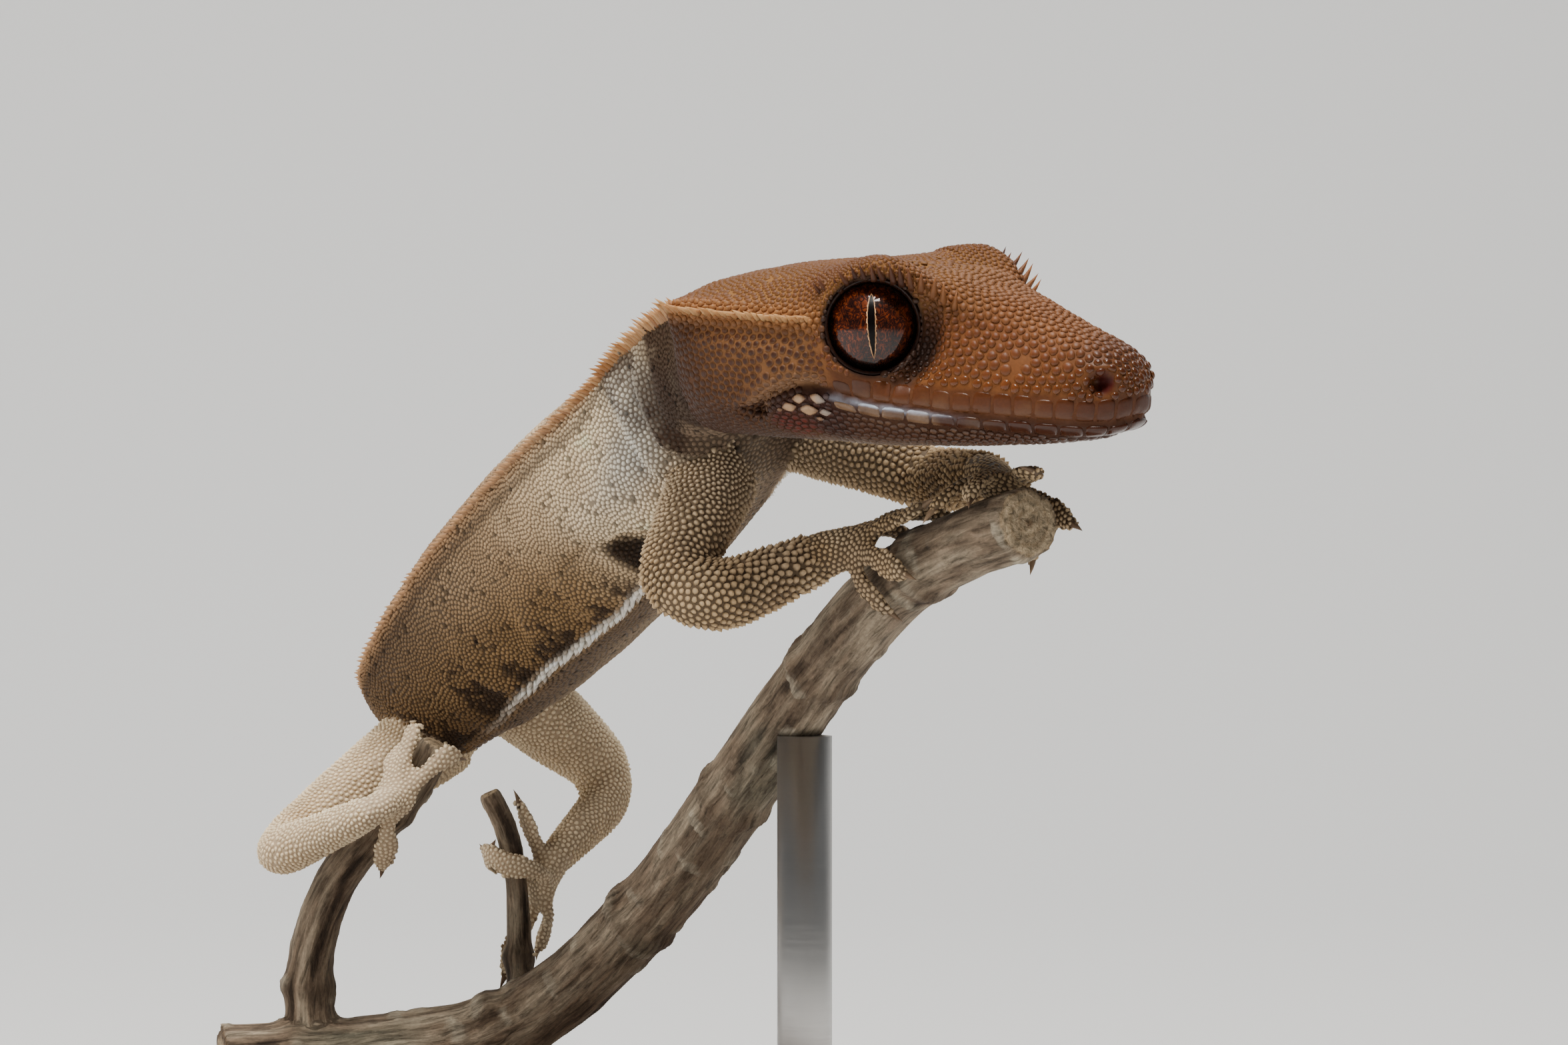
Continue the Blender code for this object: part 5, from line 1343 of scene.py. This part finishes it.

# Corner scales. Seven flat cream diamonds lie in the skin behind the corner of the mouth, which is
# painted dark as shade under the cheek.
diamonds = bmesh.new()
diamond_centres = []
for way in (1, -1):
    for s_at, u_at, wide, tall, tilt in ((9.6, -1.72, 0.42, 0.34, 0.15), (10.85, -1.85, 0.52, 0.40, -0.10),
                                         (10.45, -1.12, 0.38, 0.26, 0.10), (11.75, -1.02, 0.46, 0.27, -0.25),
                                         (12.0, -1.95, 0.34, 0.24, 0.0), (8.85, -1.95, 0.17, 0.15, 0.0),
                                         (11.45, -2.42, 0.22, 0.15, -0.2)):
        hit = skin_tree.ray_cast(Vector(head_point(s_at, 14.0 * way, u_at)), Vector(-HEAD_RIGHT * way), 12.0)
        out = np.array(hit[1])
        level = unit(HEAD_FORWARD - out * (HEAD_FORWARD @ out))
        rise = np.cross(out, level) * (1 if np.cross(out, level) @ HEAD_UP > 0 else -1)
        diamond_centres.append((*hit[0], wide * 1.38))
        made = bmesh.ops.create_grid(diamonds, x_segments=6, y_segments=6, size=1.0)["verts"]
        for vert in made:
            edge_far = max(abs(vert.co.x), abs(vert.co.y))
            rounder = 0.55 + 0.45 * edge_far / max(vert.co.xy.length, 1e-6)
            p, q = (vert.co.x + vert.co.y) / 2 * rounder, (vert.co.y - vert.co.x) / 2 * rounder
            p, q = p * wide * 1.30, q * tall * 1.30
            p, q = p - tilt * q + 0.12 * q * abs(p), q + tilt * p
            vert.co = np.array(hit[0]) + level * p * 1.2 + rise * q * 1.2 + out * (0.22 - 0.10 * edge_far**4)
bmesh.ops.solidify(diamonds, geom=list(diamonds.faces), thickness=0.05)
bmesh.ops.recalc_face_normals(diamonds, faces=list(diamonds.faces))
bmesh.ops.scale(diamonds, verts=list(diamonds.verts), vec=(0.001, 0.001, 0.001))
diamond_mesh = mesh_from(diamonds, "corner_scales")
shade_smooth(diamond_mesh)
places = arrays_of(diamond_mesh)[0] * 1000
cream = mixed((0.50, 0.33, 0.20), (0.36, 0.215, 0.12), cloudy(places, 0.7, 2, 55))
diamond_centres = np.array(diamond_centres)
spans = np.linalg.norm(places[:, None, :] - diamond_centres[None, :, :3], axis=2)
spans = spans / diamond_centres[None, :, 3]
cream = mixed(cream, (0.15, 0.070, 0.040), ramp(spans.min(axis=1), 0.50, 0.85) * 0.8)
add_tint(diamond_mesh, mixed(cream, (0.26, 0.23, 0.21), ramp(head_place(places)[0], 11.5, 11.9) * 0.7),
         np.full(len(places), 0.6))
settle_piece("corner_scales", diamond_mesh, head_finish)

# Claws. A small curved horn claw at the end of each toe, its root sunk in the toe. All bend in
# towards the bark that they hold.


def claw_spots(node):
    """The tips of the claws in the solid, with the way each one points, out of its vertices."""
    bm = nodes_in_mm([node])
    bm.verts.ensure_lookup_table()
    tree = KDTree(len(bm.verts))
    for vert in bm.verts:
        tree.insert(vert.co, vert.index)
    tree.balance()
    taken = set()
    found = []
    for vert in bm.verts:
        if vert.index in taken:
            continue
        group = [hit[1] for hit in tree.find_range(vert.co, 0.15)]
        if len(group) < 3 or len(group) > 6:
            continue
        tip = sum((bm.verts[k].co for k in group), Vector()) / len(group)
        rest = {e.other_vert(bm.verts[k]).index for k in group for e in bm.verts[k].link_edges}
        rest -= set(group)
        if not rest:
            continue
        root = sum((bm.verts[k].co for k in rest), Vector()) / len(rest)
        far = (tip - root).length
        spread_out = max((bm.verts[k].co - root).length for k in rest)
        if far > 0.55 and spread_out < far * 1.05:
            taken.update(group)
            found.append((np.array(tip), np.array((tip - root).normalized())))
    bm.free()
    return found


claw_roots, claw_aims, claw_bends = [], [], []
wood_bm = nodes_in_mm(["perch_branch"])
wood_tree = BVHTree.FromBMesh(wood_bm)
wood_bm.free()
for node in TOED:
    for tip, aim in claw_spots(node):
        inward = np.array(wood_tree.find_nearest(tip)[0]) - tip
        inward = unit(inward - aim * (inward @ aim))
        claw_roots.append(tip - aim * 1.30)
        claw_aims.append(aim + inward * 0.05)
        claw_bends.append(inward * 0.16)
claw_count = len(claw_roots)
claw_tints = mixed((0.30, 0.20, 0.12), (0.12, 0.075, 0.045), jitter.random(claw_count))
claw_mesh = spine_mesh("claws", np.array(claw_roots), np.array(claw_aims), np.array(claw_bends),
                       np.full(claw_count, 1.28), np.full(claw_count, 0.27), claw_tints)
settle_piece("claws", claw_mesh, horn)

# Perch. A cut length of branch with two shoots, grey-tan bark with fine lengthwise cracks, raised
# pores and swollen joints, and pale sawn ends.
BRANCHES = (
    (np.array(((-44.0, 53.0, -42.5), (-32.0, 56.5, -42.0), (-20.8, 58.5, -39.5), (-10.5, 51.0, -30.0),
               (-2.5, 38.0, -18.5), (3.5, 27.0, -9.5), (8.0, 18.0, -4.2), (12.4, 9.5, -1.4),
               (16.2, 2.5, 0.0))) + SHIFT, (3.5, 3.4, 3.2, 3.1, 3.0, 2.9, 2.8, 2.7, 2.6)),
    (np.array(((-37.0, 55.5, -42.0), (-37.4, 56.0, -35.0), (-35.4, 54.6, -28.6), (-31.6, 52.6, -23.6),
               (-28.4, 51.4, -20.0), (-26.8, 50.8, -17.0))) + SHIFT, (2.4, 2.1, 1.9, 1.75, 1.6, 1.5)),
    (np.array(((-20.8, 59.0, -40.0), (-21.2, 61.0, -34.5), (-21.3, 61.0, -29.5), (-22.0, 60.6, -25.0),
               (-23.6, 60.0, -21.4))) + SHIFT, (1.5, 1.25, 1.15, 1.1, 1.05)),
)
wood_mesh = evened(nodes_in_mm(["perch_branch"]), "wood_rough", 0.30)
wood_points, wood_edges = arrays_of(wood_mesh)
wood_points = relaxed(wood_points, wood_edges, 0.5, 8)
wood_normals = with_points(wood_mesh, wood_points)
best = np.full(len(wood_points), 1e9)
wood_along, wood_turn, wood_angle, wood_end, wood_core = np.zeros((5, len(wood_points)))
for line, radii in BRANCHES:
    t, at = along_line(wood_points, line, 300)
    way = unit(run_through(line, t + 0.05) - run_through(line, t - 0.05))
    away = wood_points - at
    radius = np.interp(t, np.arange(len(radii)), radii)
    core = np.linalg.norm(away - way * dot(away, way)[:, None], axis=1)
    far = np.abs(core - radius)
    steps = np.linspace(0, len(line) - 1, 300)
    stretches = np.linalg.norm(np.diff(run_through(line, steps), axis=0), axis=1)
    lengths = np.concatenate(([0], np.cumsum(stretches)))
    first = unit(np.cross(way, (0.2, 0.9, 0.3)))
    turn = np.arctan2(dot(away, first), dot(away, np.cross(way, first))) * radius
    here = far < best
    best[here] = far[here]
    wood_core[here] = core[here]
    wood_along[here] = np.interp(t, steps, lengths)[here]
    wood_turn[here] = turn[here]
    wood_angle[here] = (turn / radius)[here]
    at_end = (np.abs(dot(wood_normals, way)) > 0.75) & ((t < 0.2) | (t > len(line) - 1.2))
    wood_end[here] = at_end[here]
bark_place = np.stack((wood_turn, wood_along * 0.16, wood_along * 0.0), 1)
cracks = cloudy(bark_place, 1.1, 3, 61)
pores = ramp(cloudy(np.stack((wood_turn * 0.55, wood_along, wood_turn * 0.0), 1), 1.5, 1, 62), 0.72, 0.86)
joints = bump((wood_along + 3.0) % 17.0, 8.5, 0.9)
rise = 0.30 * (cracks - 0.55) + 0.14 * pores + 0.28 * joints + 0.22 * (cloudy(wood_points, 6.0, 2, 63) - 0.5)
rise = np.where(wood_end > 0, 0.05 * (cloudy(wood_points, 0.7, 2, 64) - 0.5), rise) - 0.10
wood_points = wood_points + wood_normals * rise[:, None]
with_points(wood_mesh, wood_points * 0.001)
bark_tint = mixed((0.20, 0.145, 0.098), (0.36, 0.29, 0.205), ramp(cracks, 0.40, 0.72))
bark_tint = mixed(bark_tint, (0.060, 0.040, 0.027), ramp(-cracks, -0.40, -0.26))
bark_tint = mixed(bark_tint, (0.45, 0.39, 0.29), pores * 0.7)
bark_tint = mixed(bark_tint, (0.10, 0.066, 0.042), joints * 0.45)
bark_tint = mixed(bark_tint, (0.24, 0.235, 0.17), ramp(cloudy(wood_points, 9.0, 2, 65), 0.55, 0.75) * 0.5)
growth = 0.5 + 0.5 * np.sin(wood_core * 9.0 + 2.0 * cloudy(wood_points, 2.5, 2, 66))
cut_face = mixed((0.52, 0.40, 0.255), (0.33, 0.225, 0.125), growth ** 3 * 0.75)
cut_face = mixed(cut_face, (0.20, 0.12, 0.062), ramp(-wood_core, -0.5, -0.15) * 0.8)
cut_face = mixed(cut_face, (0.13, 0.085, 0.05), ramp(wood_core, 2.25, 2.45))
bark_tint = bark_tint + (cut_face - bark_tint) * wood_end[:, None]
add_tint(wood_mesh, bark_tint, np.full(len(bark_tint), 0.1))
shade_smooth(wood_mesh)
wood_mesh.materials.clear()
lay = wood_mesh.attributes.new("lay", "FLOAT_VECTOR", "POINT")
lay.data.foreach_set("vector", np.stack((np.cos(wood_angle) * wood_core, np.sin(wood_angle) * wood_core,
                                         wood_along * 0.15), 1).astype(np.float32).ravel())
bark = scaly("bark", 3200.0, 0.5, 0.86, 0.00012)
tree = bark.node_tree
shader = tree.nodes["Principled BSDF"]
laid = add_node(tree, "Attribute")
laid.attribute_name = "lay"
fibre = add_node(tree, "TexNoise", scale=2.4, detail=9.0, roughness=0.68, distortion=0.5)
tree.links.new(laid.outputs["Vector"], fibre.inputs["Vector"])
fibre_shade = add_node(tree, "MapRange", from_min=0.36, from_max=0.66, to_min=0.34, to_max=1.40)
tree.links.new(fibre.outputs["Fac"], fibre_shade.inputs["Value"])
fibred = add_node(tree, "VectorMath")
fibred.operation = "MULTIPLY"
tree.links.new(shader.inputs["Base Color"].links[0].from_socket, fibred.inputs[0])
tree.links.new(fibre_shade.outputs["Result"], fibred.inputs[1])
tree.links.new(fibred.outputs["Vector"], shader.inputs["Base Color"])
fibre_raised = add_node(tree, "Bump", strength=0.9, distance=0.00030)
tree.links.new(fibre.outputs["Fac"], fibre_raised.inputs["Height"])
tree.links.new(shader.inputs["Normal"].links[0].from_socket, fibre_raised.inputs["Normal"])
tree.links.new(fibre_raised.outputs["Normal"], shader.inputs["Normal"])
perch = settle_piece("branch", wood_mesh, bark)
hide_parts("perch_branch")

# Stand. A turned disc of dark varnished hardwood, and two plain brushed steel rods let into it that
# hold up the branch from below.
base_bm = bmesh.new()
profile = ((0.0, 0.0), (46.2, 0.0), (47.0, 0.8), (47.0, 5.4), (46.55, 6.5), (45.6, 7.5), (44.4, 8.0),
           (41.6, 8.0), (41.2, 7.6), (40.8, 8.0), (0.0, 8.0))
run = [base_bm.verts.new((r * 0.001, 0, z * 0.001)) for r, z in profile]
for a, b in zip(run, run[1:]):
    base_bm.edges.new((a, b))
bmesh.ops.spin(base_bm, geom=list(base_bm.edges), cent=(0, 0, 0), axis=(0, 0, 1), angle=2 * math.pi,
               steps=128, use_merge=True)
bmesh.ops.remove_doubles(base_bm, verts=list(base_bm.verts), dist=1e-6)
bmesh.ops.recalc_face_normals(base_bm, faces=list(base_bm.faces))
base_mesh = mesh_from(base_bm, "turned_base")
walnut, tree, shader = plain_shader("walnut", (0.09, 0.045, 0.022), 0.38, 0.35)
where = add_node(tree, "TexCoord")
plank = add_node(tree, "Mapping", scale=(1.0, 9.0, 9.0))
tree.links.new(where.outputs["Object"], plank.inputs["Vector"])
grain = add_node(tree, "TexNoise", scale=26.0, detail=8.0, distortion=0.6)
tree.links.new(plank.outputs["Vector"], grain.inputs["Vector"])
grain_ramp = add_node(tree, "ValToRGB")
grain_ramp.color_ramp.elements[0].position = 0.32
grain_ramp.color_ramp.elements[0].color = (0.030, 0.014, 0.008, 1)
grain_ramp.color_ramp.elements[1].position = 0.70
grain_ramp.color_ramp.elements[1].color = (0.135, 0.066, 0.032, 1)
tree.links.new(grain.outputs["Fac"], grain_ramp.inputs["Fac"])
tree.links.new(grain_ramp.outputs["Color"], shader.inputs["Base Color"])
base = settle_piece("turned_base", base_mesh, walnut)
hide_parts("stand_base")

steel, tree, shader = plain_shader("brushed_steel", (0.66, 0.65, 0.635), 0.42)
shader.inputs["Metallic"].default_value = 1.0
where = add_node(tree, "TexCoord")
brush = add_node(tree, "Mapping", scale=(1.0, 1.0, 30.0))
tree.links.new(where.outputs["Object"], brush.inputs["Vector"])
lines = add_node(tree, "TexNoise", scale=260.0, detail=4.0)
tree.links.new(brush.outputs["Vector"], lines.inputs["Vector"])
steel_rough = add_node(tree, "MapRange", to_min=0.34, to_max=0.58)
tree.links.new(lines.outputs["Fac"], steel_rough.inputs["Value"])
tree.links.new(steel_rough.outputs["Result"], shader.inputs["Roughness"])
ROD_RADIUS = 2.0
ROD_FOOT = 7.0
for name, (x, y) in (("stand_rod_rear", (-20.0, 14.5)), ("stand_rod_front", (10.5, -11.0))):
    low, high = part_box(name)
    rod_bm = bmesh.new()
    top = high[2] * 1000 - 0.7
    bmesh.ops.create_cone(rod_bm, cap_ends=True, segments=48, radius1=ROD_RADIUS, radius2=ROD_RADIUS,
                          depth=top - ROD_FOOT)
    bmesh.ops.translate(rod_bm, verts=list(rod_bm.verts), vec=(x, y, (top + ROD_FOOT) / 2))
    bmesh.ops.scale(rod_bm, verts=list(rod_bm.verts), vec=(0.001, 0.001, 0.001))
    rod_mesh = mesh_from(rod_bm, name + "_steel")
    for face in rod_mesh.polygons:
        face.use_smooth = len(face.vertices) == 4
    rod = settle_piece(name + "_steel", rod_mesh, steel)
    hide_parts(name)
